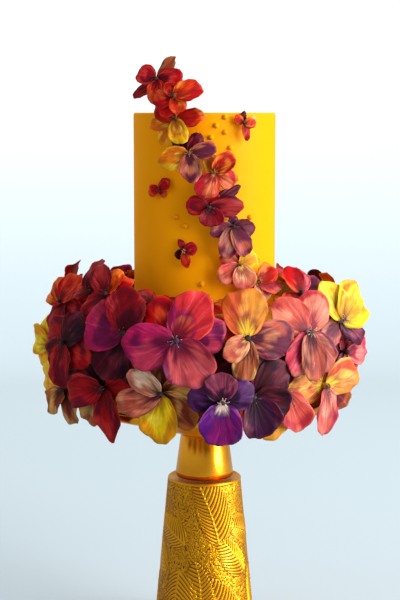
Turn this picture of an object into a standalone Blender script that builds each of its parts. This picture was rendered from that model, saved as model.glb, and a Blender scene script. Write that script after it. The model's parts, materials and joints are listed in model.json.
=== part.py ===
"""Two-tier fondant cake dressed with moulded sugar flowers, on its tall gold stand.

Metres, +Z up. The origin is the middle of the stand's foot, on the table. An azimuth is
in degrees round the cake's axis: 0 is the front (-Y) and 90 is the right side (+X).
A flower's clock angle runs clockwise from its top, as seen by someone who faces it.
"""
import math
import random
from typing import NamedTuple

import bmesh
import bpy
from mathutils import Matrix, Vector
from mathutils.bvhtree import BVHTree
from mathutils.geometry import delaunay_2d_cdt

MM = 0.001
GAP = 0.3 * MM                    # air between two pieces that rest on each other
MERGE = 0.01 * MM
ROUND_STEPS = 36                  # sides of a turned piece

# Cake: a six-inch tier on an eight-inch tier
UPPER_RADIUS = 76.2 * MM
UPPER_HEIGHT = 205 * MM
LOWER_RADIUS = 101.6 * MM
LOWER_HEIGHT = 102 * MM
FONDANT_EDGE = 2 * MM             # rounding of a tier's top edge

# Stand: plate, plain neck cone and embossed sleeve
STAND_HEIGHT = 283 * MM
PLATE_RADIUS = 140 * MM
PLATE_RIM = 7 * MM                # height of the plate's upright rim
NECK_TOP_RADIUS = 26 * MM
NECK_BOTTOM_RADIUS = 31.5 * MM
NECK_TOP = 240 * MM               # heights above the table
NECK_BOTTOM = 198 * MM
SLEEVE_SHOULDER = 190 * MM
SLEEVE_TOP_RADIUS = 40.5 * MM
SLEEVE_FOOT_RADIUS = 58 * MM
FOOT_RIM = 4 * MM                 # the plain band at the very bottom
FOOT_RIM_WIDER = 2 * MM

# Sugar flowers
PETAL_THICKNESS = 1.2 * MM
PETAL_GUARD = 2.0 * MM            # thickness that a petal claims while flowers are set out
EDGE_POINTS = 5                   # points round a petal's edge, without its base
RIB_POINT = 0.45                  # point on its middle rib, of the length
EDGE_TURN = math.radians(150)     # how far the petal's edge runs round each side
WIDEST = 0.58                     # where along its length a petal is widest
LAYER = 1.7                       # height of one petal's base above the one behind it, in mm
LAYER_LIFT = 1.0                  # and how much more it lifts, in degrees
CURL = 0.20                       # how far the tip bends back, of the length
CUP_BACK = -0.12                  # how far a rear petal's sides rise, of the half width
CUP_FRONT = 0.18
WAVE = 0.025                      # low ripple of the rim, of the length
CORE_SIDES = 5
CORE_RADIUS = 0.085               # a flower's middle, of its longest petal
CORE_FRONT = 0.06
CORE_BACK = 0.14
STEM_RADIUS = 1.1 * MM
STEM_LONGEST = 110 * MM
PUSH_STEP = 1.5 * MM
PUSH_LONGEST = 90 * MM

# Sugar pearls on the upper tier
PEARL_RADIUS = 2.4 * MM
PEARL_STANDS_OUT = 0.9 * MM       # pearl's middle outside the fondant's surface

COLOURS = {
    "fondant": (0.87, 0.52, 0.01), "gold": (0.80, 0.46, 0.08), "crimson": (0.35, 0.01, 0.03),
    "red": (0.62, 0.03, 0.02), "orange": (0.85, 0.24, 0.02), "yellow": (0.93, 0.72, 0.03),
    "plum": (0.12, 0.01, 0.07), "violet": (0.16, 0.03, 0.30), "magenta": (0.45, 0.04, 0.17),
    "rose": (0.58, 0.17, 0.17), "coral": (0.86, 0.24, 0.16), "peach": (0.88, 0.45, 0.22),
}


class Petal(NamedTuple):
    """One petal: clock angle, length, width and lift towards the viewer; point sharpens its tip."""
    clock: float
    length: float
    width: float
    lift: float = 6.0
    point: float = 0.0


class Flower(NamedTuple):
    """One flower: where its middle is, which way it faces, and its petals in millimetres."""
    name: str
    colour: str
    azimuth: float
    height: float
    radius: float
    turn: float
    tip: float
    petals: tuple


# The lower row of the ring, set out first, so that the upper row overlaps it
LOWER_ROW = (
    Flower("ring_shade", "plum", 3, 352, 110, 0, 4, (
        Petal(40, 36, 34), Petal(110, 38, 36), Petal(180, 34, 34), Petal(250, 38, 36), Petal(320, 36, 34))),
    Flower("ring_dusk_left", "crimson", -56, 336, 124, 10, 2, (
        Petal(60, 36, 34), Petal(140, 38, 36), Petal(215, 36, 34), Petal(300, 38, 34))),
    Flower("ring_dusk_right", "violet", 70, 322, 122, 16, 2, (
        Petal(30, 36, 34), Petal(110, 38, 36), Petal(190, 36, 34), Petal(280, 38, 34))),
    Flower("ring_brown", "peach", -67, 302, 156, 16, -6, (
        Petal(28, 50, 44), Petal(80, 48, 42), Petal(170, 40, 34), Petal(-70, 44, 32), Petal(-128, 46, 28, 4))),
    Flower("ring_crimson", "crimson", -42, 312, 150, 12, -2, (
        Petal(345, 50, 50), Petal(82, 44, 36), Petal(217, 50, 33, 2), Petal(172, 50, 32, 4, 0.15),
        Petal(262, 46, 36))),
    Flower("ring_sunset", "peach", 52, 312, 154, -16, -4, (
        Petal(350, 42, 38), Petal(262, 36, 34), Petal(122, 44, 34), Petal(70, 46, 40), Petal(176, 54, 28, 4))),
    Flower("ring_marigold", "yellow", 32, 314, 148, -10, 0, (
        Petal(60, 38, 36), Petal(350, 46, 36), Petal(300, 44, 32), Petal(196, 54, 36, 2), Petal(156, 50, 36))),
    Flower("ring_night", "plum", 18, 310, 146, -4, -2, (
        Petal(322, 46, 40), Petal(8, 52, 42), Petal(50, 48, 40), Petal(112, 42, 40), Petal(160, 46, 42))),
    Flower("ring_honey", "yellow", -17, 312, 146, 8, -2, (
        Petal(14, 44, 34), Petal(84, 38, 34), Petal(132, 48, 32), Petal(186, 54, 40, 2), Petal(252, 48, 31),
        Petal(314, 40, 24, 20))),
    Flower("ring_violet", "violet", 6, 308, 150, 2, -4, (
        Petal(286, 36, 34), Petal(70, 34, 34), Petal(352, 32, 34, 14), Petal(184, 46, 46, 4))),
)

# Flowers that lie on the step round the upper tier and face upwards
CROWN = (
    Flower("crown_front_left", "crimson", -28, 394, 112, 0, 72, (
        Petal(20, 34, 30), Petal(110, 34, 30), Petal(200, 36, 32), Petal(290, 34, 30))),
    Flower("crown_front", "orange", 2, 394, 112, 0, 74, (
        Petal(50, 34, 30), Petal(130, 34, 30), Petal(225, 36, 32), Petal(310, 34, 30))),
    Flower("crown_right", "magenta", 88, 402, 110, -8, 54, (
        Petal(0, 38, 34), Petal(95, 40, 34), Petal(180, 40, 36), Petal(270, 40, 34))),
    Flower("crown_far_right", "yellow", 122, 400, 110, 6, 58, (
        Petal(40, 38, 34), Petal(130, 40, 34), Petal(220, 40, 36), Petal(315, 38, 34))),
    Flower("crown_far", "coral", 157, 402, 110, -6, 52, (
        Petal(10, 38, 34), Petal(100, 40, 34), Petal(190, 40, 36), Petal(280, 38, 34))),
    Flower("crown_far_left", "plum", 193, 400, 110, 8, 56, (
        Petal(30, 38, 34), Petal(125, 40, 34), Petal(215, 40, 36), Petal(305, 38, 34))),
    Flower("crown_left", "orange", 230, 402, 110, -4, 54, (
        Petal(5, 38, 34), Petal(95, 40, 34), Petal(185, 40, 36), Petal(275, 38, 34))),
)

# The upper row of the ring, from the pieces nearest the cake outwards
UPPER_ROW = (
    Flower("ring_red_back", "red", 56, 401, 118, -26, 34, (
        Petal(120, 32, 26), Petal(230, 32, 28), Petal(66, 34, 26), Petal(20, 30, 22, 8), Petal(338, 32, 26, 8))),
    Flower("ring_tip", "crimson", -50, 402, 116, 22, 32, (
        Petal(235, 34, 28), Petal(120, 30, 26), Petal(52, 30, 24, 6, 0.1), Petal(12, 30, 24),
        Petal(330, 34, 26, 6, 0.15))),
    Flower("ring_garnet", "crimson", -72, 398, 124, 26, 34, (
        Petal(200, 36, 32), Petal(276, 34, 28), Petal(104, 34, 30), Petal(40, 34, 28), Petal(346, 38, 28, 4, 0.12))),
    Flower("ring_flame", "red", -80, 388, 152, 34, 20, (
        Petal(120, 34, 30), Petal(200, 36, 30), Petal(286, 30, 22), Petal(330, 30, 24), Petal(36, 38, 30))),
    Flower("ring_lemon_side", "yellow", -90, 338, 156, 36, 4, (
        Petal(60, 36, 32), Petal(150, 36, 32), Petal(220, 36, 32), Petal(340, 34, 30), Petal(280, 38, 34))),
    Flower("ring_wine", "crimson", -62, 352, 160, 18, 8, (
        Petal(300, 40, 36), Petal(232, 38, 34), Petal(112, 42, 36), Petal(40, 40, 36), Petal(176, 42, 36))),
    Flower("ring_lemon", "yellow", 69, 372, 152, -34, 16, (
        Petal(226, 32, 28), Petal(126, 38, 27), Petal(80, 40, 28, 8), Petal(340, 46, 36), Petal(27, 46, 36))),
    Flower("ring_berry", "magenta", 73, 338, 149, -20, 0, (
        Petal(270, 36, 30), Petal(20, 38, 30), Petal(196, 42, 28), Petal(150, 40, 30), Petal(94, 42, 30))),
    Flower("ring_amber", "orange", 16, 368, 148, -6, 10, (
        Petal(302, 40, 28), Petal(94, 50, 42, 6), Petal(356, 52, 46, 8), Petal(188, 46, 26), Petal(232, 32, 24, 16))),
    Flower("ring_salmon", "rose", 41, 370, 156, -18, 10, (
        Petal(24, 45, 40), Petal(316, 46, 40), Petal(146, 46, 33), Petal(207, 48, 32), Petal(178, 50, 30, 6))),
    Flower("ring_plum", "plum", -31, 370, 152, 12, 12, (
        Petal(80, 40, 34), Petal(168, 50, 38, 4), Petal(205, 54, 40, 4), Petal(284, 46, 52, 6),
        Petal(6, 46, 46, 10))),
    Flower("ring_magenta", "magenta", -10, 367, 158, 4, 10, (
        Petal(330, 48, 40), Petal(80, 52, 38, 6), Petal(31, 54, 48, 6), Petal(257, 55, 48, 6),
        Petal(149, 52, 52, 6))),
)

# The cascade on the upper tier, from its top down, and three small blossoms beside it
CASCADE = (
    Flower("cascade_orange", "orange", -19, 583, 85, 0, 6, (
        Petal(216, 32, 22, 4), Petal(262, 31, 19, 4), Petal(84, 30, 20), Petal(304, 26, 24), Petal(160, 28, 22, 14))),
    Flower("cascade_scarlet", "red", -20, 605, 81, 14, 16, (
        Petal(210, 22, 18), Petal(262, 22, 20), Petal(340, 16, 14, 20), Petal(150, 20, 18), Petal(72, 31, 24))),
    Flower("cascade_crimson", "crimson", -34, 623, 80, 16, 12, (
        Petal(238, 29, 14, 4, 0.2), Petal(34, 30, 14, 6), Petal(82, 27, 21), Petal(176, 28, 22, 4),
        Petal(288, 20, 22, 18))),
    Flower("cascade_dusk", "plum", -10, 549, 85, 4, 4, (
        Petal(320, 24, 18), Petal(30, 24, 16), Petal(80, 29, 18), Petal(252, 32, 25, 4), Petal(172, 30, 24))),
    Flower("cascade_red", "red", 3, 494, 85, 0, 4, (
        Petal(56, 36, 14, 4, 0.1), Petal(18, 18, 18), Petal(277, 25, 20), Petal(88, 35, 24, 4), Petal(168, 21, 26))),
    Flower("cascade_coral", "coral", 6, 529, 88, -2, 4, (
        Petal(345, 24, 17), Petal(114, 26, 20, 8), Petal(206, 29, 26), Petal(45, 27, 22, 12))),
    Flower("cascade_cream", "peach", 24, 434, 85, -8, 6, (
        Petal(10, 16, 16), Petal(296, 21, 16), Petal(66, 23, 19), Petal(236, 28, 22), Petal(164, 27, 26, 6))),
    Flower("cascade_violet", "violet", 19, 474, 86, -6, 4, (
        Petal(20, 12, 12), Petal(98, 25, 20), Petal(256, 24, 19), Petal(197, 34, 22, 6), Petal(152, 34, 21, 6))),
    Flower("cascade_ember", "red", 37, 414, 90, -16, 26, (
        Petal(242, 22, 20), Petal(318, 18, 16), Petal(164, 22, 20), Petal(108, 26, 20), Petal(52, 26, 22))),
    Flower("blossom_crimson", "crimson", -35, 511, 79, 10, 0, (
        Petal(150, 9, 8), Petal(262, 15, 13), Petal(50, 16, 13))),
    Flower("blossom_ring", "red", -15, 449, 79, 6, 0, (
        Petal(332, 13, 8), Petal(228, 12, 11), Petal(170, 18, 11), Petal(74, 15, 14))),
    Flower("blossom_orange", "orange", 29, 579, 80, -10, 0, (
        Petal(10, 13, 7), Petal(118, 11, 7), Petal(306, 12, 10), Petal(168, 18, 9), Petal(76, 14, 13))),
)

# The far side of the ring follows the same rule of two staggered rows, each with its height,
# radius, tip, first azimuth and spacing
BACK_ROWS = ((312, 144, -3, 92, 29), (370, 152, 12, 104, 24))
BACK_COUNT = 7
BACK_COLOURS = ("magenta", "yellow", "coral", "crimson", "violet", "peach", "red", "rose", "plum", "orange")
BACK_SEED = 11

# Pearls beside the cascade: azimuth and depth below the cake's top in millimetres
PEARLS = ((16, 4.5), (5, 25), (16, 20), (20, 36), (26, 67), (-23, 107), (-15, 116), (38, 108), (47, 154),
          (-2, 176), (9, 13))


def clear_scene():
    """Remove whatever the file opened with."""
    for obj in list(bpy.data.objects):
        bpy.data.objects.remove(obj, do_unlink=True)
    for collection in list(bpy.data.collections):
        bpy.data.collections.remove(collection)


def new_collection(name):
    """Make a collection in the scene."""
    collection = bpy.data.collections.new(name)
    bpy.context.scene.collection.children.link(collection)
    return collection


def material(colour):
    """Return the material of a named colour."""
    found = bpy.data.materials.get(colour)
    if found:
        return found
    made = bpy.data.materials.new(colour)
    made.use_nodes = True
    shader = made.node_tree.nodes["Principled BSDF"]
    shader.inputs["Base Color"].default_value = (*COLOURS[colour], 1)
    shader.inputs["Roughness"].default_value = 0.28 if colour == "gold" else 0.55
    shader.inputs["Metallic"].default_value = 1.0 if colour == "gold" else 0.0
    return made


def new_object(name, mesh, collection, colour=None):
    """Link a mesh as a named object with its own material."""
    obj = bpy.data.objects.new(name, mesh)
    collection.objects.link(obj)
    if colour:
        mesh.materials.clear()
        mesh.materials.append(material(colour))
    return obj


def evaluated_mesh(obj):
    """Copy the mesh that an object's modifiers make."""
    bpy.context.view_layer.update()
    return bpy.data.meshes.new_from_object(obj.evaluated_get(bpy.context.evaluated_depsgraph_get()))


def turned(name, profile, collection, colour, steps=ROUND_STEPS):
    """Turn a profile of (radius, height) points, listed from the top axis down the outside."""
    mesh = bpy.data.meshes.new(name)
    mesh.from_pydata([(radius, 0, height) for radius, height in profile],
                     [(i, i + 1) for i in range(len(profile) - 1)], [])
    obj = new_object(name, mesh, collection, colour)
    screw = obj.modifiers.new("turn", "SCREW")
    screw.steps = screw.render_steps = steps
    screw.use_merge_vertices = True
    screw.merge_threshold = MERGE
    return obj


def rounded_corner(radius, height, size, steps=2):
    """Points of an outer top edge rounded by size, from the flat top round to the wall."""
    turns = [math.pi / 2 * i / steps for i in range(steps + 1)]
    return [(radius - size + size * math.sin(a), height - size + size * math.cos(a)) for a in turns]


def tier_profile(radius, bottom, top):
    """Profile of one tier of cake under its fondant."""
    return [(0, top)] + rounded_corner(radius, top, FONDANT_EDGE) + [(radius, bottom), (0, bottom)]


def build_stand(collection):
    """Plate, neck cone and embossed sleeve, each resting on the next."""
    plate_base = NECK_TOP + GAP
    turned("stand_plate", [
        (0, STAND_HEIGHT), (PLATE_RADIUS - 1.5 * MM, STAND_HEIGHT), (PLATE_RADIUS, STAND_HEIGHT - 1.5 * MM),
        (PLATE_RADIUS, STAND_HEIGHT - PLATE_RIM), (PLATE_RADIUS - 4 * MM, STAND_HEIGHT - PLATE_RIM - 2 * MM),
        (NECK_TOP_RADIUS + 3 * MM, plate_base + 1.5 * MM), (NECK_TOP_RADIUS + 1.5 * MM, plate_base),
        (0, plate_base)], collection, "gold")
    turned("stand_neck", [
        (0, NECK_TOP), (NECK_TOP_RADIUS - 1 * MM, NECK_TOP), (NECK_TOP_RADIUS, NECK_TOP - 1 * MM),
        (NECK_BOTTOM_RADIUS, NECK_BOTTOM + 1 * MM), (NECK_BOTTOM_RADIUS - 1 * MM, NECK_BOTTOM),
        (0, NECK_BOTTOM)], collection, "gold")
    seat = NECK_BOTTOM - GAP
    turned("stand_sleeve", [
        (0, seat), (NECK_BOTTOM_RADIUS + 0.5 * MM, seat), (SLEEVE_TOP_RADIUS - 2 * MM, SLEEVE_SHOULDER + 4 * MM),
        (SLEEVE_TOP_RADIUS, SLEEVE_SHOULDER), (SLEEVE_FOOT_RADIUS, FOOT_RIM),
        (SLEEVE_FOOT_RADIUS + FOOT_RIM_WIDER, FOOT_RIM - 0.5 * MM),
        (SLEEVE_FOOT_RADIUS + FOOT_RIM_WIDER, 0.8 * MM), (SLEEVE_FOOT_RADIUS + FOOT_RIM_WIDER - 0.8 * MM, 0),
        (0, 0)], collection, "gold")


def outward(azimuth):
    """Unit vector away from the cake's axis at an azimuth."""
    angle = math.radians(azimuth)
    return Vector((math.sin(angle), -math.cos(angle), 0))


def keep_outer_skin(mesh):
    """Fill any hollow that fusing sealed and drop loose scraps, by keeping the largest skin."""
    shape = bmesh.new()
    shape.from_mesh(mesh)
    bmesh.ops.triangulate(shape, faces=shape.faces)
    waiting, skins = set(shape.verts), []
    while waiting:
        skin, edge = set(), [waiting.pop()]
        while edge:
            vertex = edge.pop()
            skin.add(vertex)
            near = {link.other_vert(vertex) for link in vertex.link_edges} & waiting
            waiting -= near
            edge.extend(near)
        skins.append(skin)
    largest = max(skins, key=len)
    bmesh.ops.delete(shape, geom=[vertex for vertex in shape.verts if vertex not in largest])
    shape.to_mesh(mesh)
    shape.free()


def unite(obj, collection, name):
    """Join a collection's objects to one object by a Boolean union and return the mesh."""
    join = obj.modifiers.new("join", "BOOLEAN")
    join.operation = "UNION"
    join.operand_type = "COLLECTION"
    join.collection = collection
    join.solver = "EXACT"
    mesh = evaluated_mesh(obj)
    mesh.name = name
    keep_outer_skin(mesh)
    return mesh


def discard(objects):
    """Remove helper objects."""
    for obj in list(objects):
        bpy.data.objects.remove(obj, do_unlink=True)


def build_tiers(collection, helpers):
    """Both tiers; the upper one has its pearls fused on."""
    lower_base = STAND_HEIGHT + GAP
    lower_top = STAND_HEIGHT + LOWER_HEIGHT
    turned("lower_tier", tier_profile(LOWER_RADIUS, lower_base, lower_top), collection, "fondant")
    top = lower_top + UPPER_HEIGHT
    plain = turned("plain_tier", tier_profile(UPPER_RADIUS, lower_top + GAP, top), helpers, "fondant")
    pearls = new_collection("pearls")
    for azimuth, depth in PEARLS:
        shape = bmesh.new()
        bmesh.ops.create_uvsphere(shape, u_segments=6, v_segments=3, radius=PEARL_RADIUS)
        mesh = bpy.data.meshes.new("pearl")
        shape.to_mesh(mesh)
        shape.free()
        pearl = new_object("pearl", mesh, pearls)
        pearl.location = outward(azimuth) * (UPPER_RADIUS + PEARL_STANDS_OUT) + Vector((0, 0, top - depth * MM))
    new_object("upper_tier", unite(plain, pearls, "upper_tier"), collection, "fondant")
    discard(list(pearls.objects) + [plain])
    bpy.data.collections.remove(pearls)


def petal_edge(petal, across):
    """Edge of a petal, from one side of its base (-1) over its tip (0) to the other side (1)."""
    turn = across * EDGE_TURN
    side = petal.width / 2 * math.sin(turn)
    if abs(turn) < math.pi / 2:
        reach = petal.length * (WIDEST + (1 - WIDEST) * math.cos(turn))
        reach += petal.length * petal.point * max(0, 1 - abs(turn))
    else:
        reach = petal.length * WIDEST * (1 + math.cos(turn))
    return side, reach


def petal_rise(petal, layer, layers, side, reach):
    """Height of a petal's middle surface above its flower's plane, in millimetres."""
    far = reach / petal.length
    wide = 2 * side / petal.width
    cup = CUP_BACK + (CUP_FRONT - CUP_BACK) * layer / max(1, layers - 1)
    phase = math.radians(7 * petal.clock + 13 * petal.length)
    rise = LAYER * layer + math.tan(math.radians(petal.lift + LAYER_LIFT * layer)) * reach
    rise -= CURL * petal.length * far ** 2
    rise += cup * petal.width / 2 * wide ** 2
    return rise + WAVE * petal.length * far ** 2 * math.sin(2.6 * wide + phase)


def petal_object(petal, layer, layers, helpers):
    """Thin wavy petal: its outline and rib filled with triangles, thickened by Solidify."""
    spread = [2 * i / (EDGE_POINTS - 1) - 1 for i in range(EDGE_POINTS)]
    flat = [(0, 0)] + [petal_edge(petal, across) for across in spread]
    outline = list(range(len(flat)))
    flat.append((0, petal.length * RIB_POINT))
    points, _, faces, *_ = delaunay_2d_cdt([Vector(point) for point in flat], [], [outline], 1, 0.001)
    turn = Matrix.Rotation(math.radians(-petal.clock), 3, "Z")
    mesh = bpy.data.meshes.new("petal")
    mesh.from_pydata([turn @ Vector((point.x, point.y, petal_rise(petal, layer, layers, *point))) * MM
                      for point in points], [], faces)
    obj = new_object("petal", mesh, helpers)
    shell = obj.modifiers.new("shell", "SOLIDIFY")
    shell.offset = 0
    shell.thickness = PETAL_GUARD
    return obj


def core_object(flower, reach, helpers):
    """A flower's middle that all its petals grow from, with its stem down to a depth behind it."""
    size = max(petal.length for petal in flower.petals) * MM
    front = size * CORE_FRONT + LAYER * len(flower.petals) * MM
    back = size * CORE_BACK
    profile = [(0, front), (size * CORE_RADIUS, front), (STEM_RADIUS, -back)]
    if reach > back + STEM_RADIUS:
        profile.append((STEM_RADIUS * 0.8, -reach))
    profile.append((0, profile[-1][1]))
    return turned("core", profile, helpers, flower.colour, CORE_SIDES)


def flower_frame(flower, radius):
    """Matrix that puts a flower at a distance from the axis, facing its own way."""
    facing = outward(flower.azimuth + flower.turn) * math.cos(math.radians(flower.tip))
    facing.z = math.sin(math.radians(flower.tip))
    right = Vector((0, 0, 1)).cross(facing).normalized()
    matrix = Matrix((right, facing.cross(right), facing)).transposed().to_4x4()
    matrix.translation = outward(flower.azimuth) * radius + Vector((0, 0, flower.height * MM))
    return matrix


def tree_of(meshes, matrix):
    """Search tree over the triangles of several meshes, moved by a matrix."""
    points, faces = [], []
    for mesh in meshes:
        first = len(points)
        points += [matrix @ vertex.co for vertex in mesh.vertices]
        faces += [[first + index for index in polygon.vertices] for polygon in mesh.polygons]
    return BVHTree.FromPolygons(points, faces)


def is_clear(tree, placed):
    """Tell whether nothing that is already set out crosses a tree."""
    return not any(tree.overlap(other) for other in placed)


def clear_radius(flower, meshes, placed):
    """Push a flower away from the axis until nothing crosses it."""
    for step in range(int(PUSH_LONGEST / PUSH_STEP)):
        radius = flower.radius * MM + step * PUSH_STEP
        if is_clear(tree_of(meshes, flower_frame(flower, radius)), placed):
            return radius
    raise ValueError("no room for " + flower.name)


def stem_reach(flower, matrix, placed, helpers):
    """Length of the stem that stops just short of whatever is behind the flower."""
    origin, back = matrix.translation, -matrix.col[2].to_3d()
    hits = [tree.ray_cast(origin, back, STEM_LONGEST)[3] for tree in placed]
    reach = min([hit for hit in hits if hit is not None], default=0) - GAP
    while reach > 0:
        core = core_object(flower, reach, helpers)
        clear = is_clear(tree_of([evaluated_mesh(core)], matrix), placed)
        discard([core])
        if clear:
            return reach
        reach -= GAP
    return 0


def build_flower(flower, collection, helpers, placed):
    """Set out one flower and fuse its core, petals and stem into one solid."""
    petals = new_collection("petals")
    layers = len(flower.petals)
    shells = [petal_object(petal, layer, layers, petals) for layer, petal in enumerate(flower.petals)]
    core = core_object(flower, 0, helpers)
    guards = [evaluated_mesh(shell) for shell in shells]
    radius = clear_radius(flower, guards + [evaluated_mesh(core)], placed)
    discard([core])
    matrix = flower_frame(flower, radius)
    core = core_object(flower, stem_reach(flower, matrix, placed, helpers), helpers)
    placed.append(tree_of(guards + [evaluated_mesh(core)], matrix))
    for shell in shells:
        shell.modifiers["shell"].thickness = PETAL_THICKNESS
    mesh = unite(core, petals, flower.name)
    mesh.transform(matrix)
    new_object(flower.name, mesh, collection, flower.colour)
    discard(list(petals.objects) + [core])
    bpy.data.collections.remove(petals)
    return radius


def back_flowers():
    """Flowers of the far side: two staggered rows with drawn sizes and colours."""
    draw = random.Random(BACK_SEED)
    flowers = []
    for row, (height, radius, tip, first_azimuth, spacing) in enumerate(BACK_ROWS):
        for number in range(BACK_COUNT):
            count = draw.choice((4, 4, 5))
            first = draw.uniform(0, 360)
            petals = tuple(
                Petal(first + 360 / count * i + draw.uniform(-8, 8), draw.uniform(42, 52), draw.uniform(36, 48),
                      draw.uniform(3, 9)) for i in range(count))
            colour = BACK_COLOURS[(3 * number + 5 * row) % len(BACK_COLOURS)]
            flowers.append(Flower(f"ring_far_{row + 1}_{number + 1}", colour, first_azimuth + spacing * number,
                                  height + draw.uniform(-8, 8), radius, draw.uniform(-10, 10),
                                  tip + draw.uniform(-6, 8), petals))
    return flowers


def main():
    """Build the stand, the tiers and every flower."""
    clear_scene()
    cake = new_collection("two_tier_cake")
    helpers = new_collection("helpers")
    build_stand(cake)
    build_tiers(cake, helpers)
    placed = [tree_of([evaluated_mesh(obj)], obj.matrix_world) for obj in cake.objects]
    back = back_flowers()
    lower_back = [flower for flower in back if flower.name.startswith("ring_far_1")]
    upper_back = [flower for flower in back if flower.name.startswith("ring_far_2")]
    for flower in (*LOWER_ROW, *lower_back, *CROWN, *UPPER_ROW, *upper_back, *CASCADE):
        radius = build_flower(flower, cake, helpers, placed)
        print(f"{flower.name}: {radius / MM:.1f} mm from the axis")
    bpy.data.collections.remove(helpers)


main()
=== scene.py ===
"""Two-tier fondant cake with a cascade and a ring of sugar flowers, on its tall gold stand.

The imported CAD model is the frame; every piece here sits where its node sits and replaces it.
Metres, +Z up. An azimuth is in degrees round the cake's axis: 0 is the front (-Y), 90 is +X.
A petal's clock angle runs clockwise from a flower's top, as seen by someone who faces it.
"""

import json
import logging
import math
import random
from dataclasses import dataclass, field
from enum import Enum
from typing import NamedTuple, Sequence

import bpy
import numpy as np
from mathutils import Matrix, Vector


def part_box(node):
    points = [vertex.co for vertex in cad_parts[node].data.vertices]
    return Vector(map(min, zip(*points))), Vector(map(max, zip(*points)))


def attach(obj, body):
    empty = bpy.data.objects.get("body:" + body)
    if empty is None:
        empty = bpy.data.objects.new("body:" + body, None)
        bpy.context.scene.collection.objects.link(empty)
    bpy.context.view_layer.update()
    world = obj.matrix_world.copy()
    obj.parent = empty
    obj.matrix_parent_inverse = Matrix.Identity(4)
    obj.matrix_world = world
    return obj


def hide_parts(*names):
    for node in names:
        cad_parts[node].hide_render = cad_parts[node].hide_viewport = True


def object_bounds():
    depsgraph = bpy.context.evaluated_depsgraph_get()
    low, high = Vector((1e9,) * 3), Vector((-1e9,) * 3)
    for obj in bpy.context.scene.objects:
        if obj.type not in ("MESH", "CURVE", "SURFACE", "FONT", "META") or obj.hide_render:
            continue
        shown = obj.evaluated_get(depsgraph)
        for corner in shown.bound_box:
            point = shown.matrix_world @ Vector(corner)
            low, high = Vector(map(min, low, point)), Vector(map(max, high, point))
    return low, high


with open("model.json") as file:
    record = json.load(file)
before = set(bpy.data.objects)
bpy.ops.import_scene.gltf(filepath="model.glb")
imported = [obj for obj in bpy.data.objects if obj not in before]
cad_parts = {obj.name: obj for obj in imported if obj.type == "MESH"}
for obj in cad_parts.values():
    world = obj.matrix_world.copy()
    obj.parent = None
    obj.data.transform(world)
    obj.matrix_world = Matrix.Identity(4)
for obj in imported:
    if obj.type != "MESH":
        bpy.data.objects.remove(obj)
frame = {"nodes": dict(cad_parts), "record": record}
CAD_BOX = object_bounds()

log = logging.getLogger("cake")

MM = 0.001
BOX_MARGIN = 0.05 * MM            # a piece stays this far inside the CAD model's box

# How the solids of the flowers are made, in millimetres where they carry a length
WIDEST = 0.58                     # where along its length a petal is widest
EDGE_TURN = math.radians(150)     # how far a petal's edge runs round each side
LAYER = 1.7                       # height of one petal's base above the one behind it
LAYER_LIFT = 1.0                  # and how much more it lifts, in degrees
CURL = 0.20
CUP_BACK = -0.12
CUP_FRONT = 0.18
WAVE = 0.025
CORE_SIDES = 5
CORE_RADIUS = 0.085               # of the longest petal
CORE_FRONT = 0.06
CORE_BACK = 0.14
STEM_RADIUS = 1.1
PUSH_STEP = 1.5
PUSH_STEPS = 60
MATCH = 0.1                       # how near a solid's corner has to be to count as found

# How a petal is dressed. Heights are shares of its length, and waves are counts across it with strengths.
FINE_GRID = (33, 15)              # corners across and along a large petal
COARSE_GRID = (25, 11)            # and a small one
PETAL_MIDDLE = 0.95               # thickness of its middle in millimetres
PETAL_RIM = 0.30                  # and of its rim
THINS_ALONG = 0.72                # where along it the sheet starts to thin
THINS_ACROSS = 0.75               # and where across it
PETAL_BASE = 0.05                 # its surface starts this far along it
RUFFLE = 0.0364                   # ripple of the rim
RUFFLE_POWER = 5                  # how closely the ripple keeps to the rim
RUFFLE_WAVES = ((9.5, 1.0), (19, 0.5))
CREASE = 0.010                    # radial creases
CREASE_COUNT = 26
OUTLINE_WAVE = 0.038              # waves of the outline
OUTLINE_WAVES = ((5.5, 1.0), (12, 0.5), (27, 0.3))
OUTLINE_INSET = 0.018             # keeps the waves close to the solid's outline

# How a petal is painted. A span is where a colour comes in, from none to full.
MOTTLE_WAVES = (3.0, 4.6, 7.0, 10.5, 16.0)
MOTTLE_STRETCH = 1.2              # along the petal
MOTTLE_LIMIT = 1.5
FRAY_WAVES = ((9, 0.07), (19, 0.05), (31, 0.03))    # brush strokes at the colours' borders
FLUSH_SPAN = (0.3, 0.72)          # over the patches
# A pale tone over a petal's middle, partly lighter paint and partly painted sheen
PALE_SHEEN_SPAN = (0.52, 0.95)          # over the lights
PALE_SHEEN_ALONG = (0.25, 0.6)          # and along the petal
PALE_SHEEN_SHARE = 0.7
ROOT_SPAN = (0.05, 0.62)          # along the petal, out of its dark root, which is deep dusting and painted shade near the heart
ROOT_LIGHT = 0.10                 # what is left of its colour in the root
THROAT_SPAN = (0.6, 1.3)          # of the throat's reach
RIM_SPAN = (0.93, 1.0)            # along the petal
RIM_SHARE = 0.6
RIM_LEAST = 0.4                   # strength of the pale rim away from the painted sheen

# How a flower's middle is built
STEM_COLOUR = (126, 128, 84)
STEM_END = 0.4                    # its wire ends this much before the solid's
THREAD_RADIUS = 0.18              # of a stamen at least, in millimetres
THREAD_SHARE = 0.005              # and of the flower's size
ANTHER_SHARE = 1.8                # of the thread's radius

Colour = tuple[float, float, float]


def srgb(red: int, green: int, blue: int) -> Colour:
    """Turn a screen colour of 0 to 255 a channel into linear light.

    Args:
        red: red channel.
        green: green channel.
        blue: blue channel.

    Returns:
        Three linear values from 0 to 1.
    """
    return tuple(((c / 255 + 0.055) / 1.055) ** 2.4 if c > 10 else c / 255 / 12.92 for c in (red, green, blue))


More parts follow.
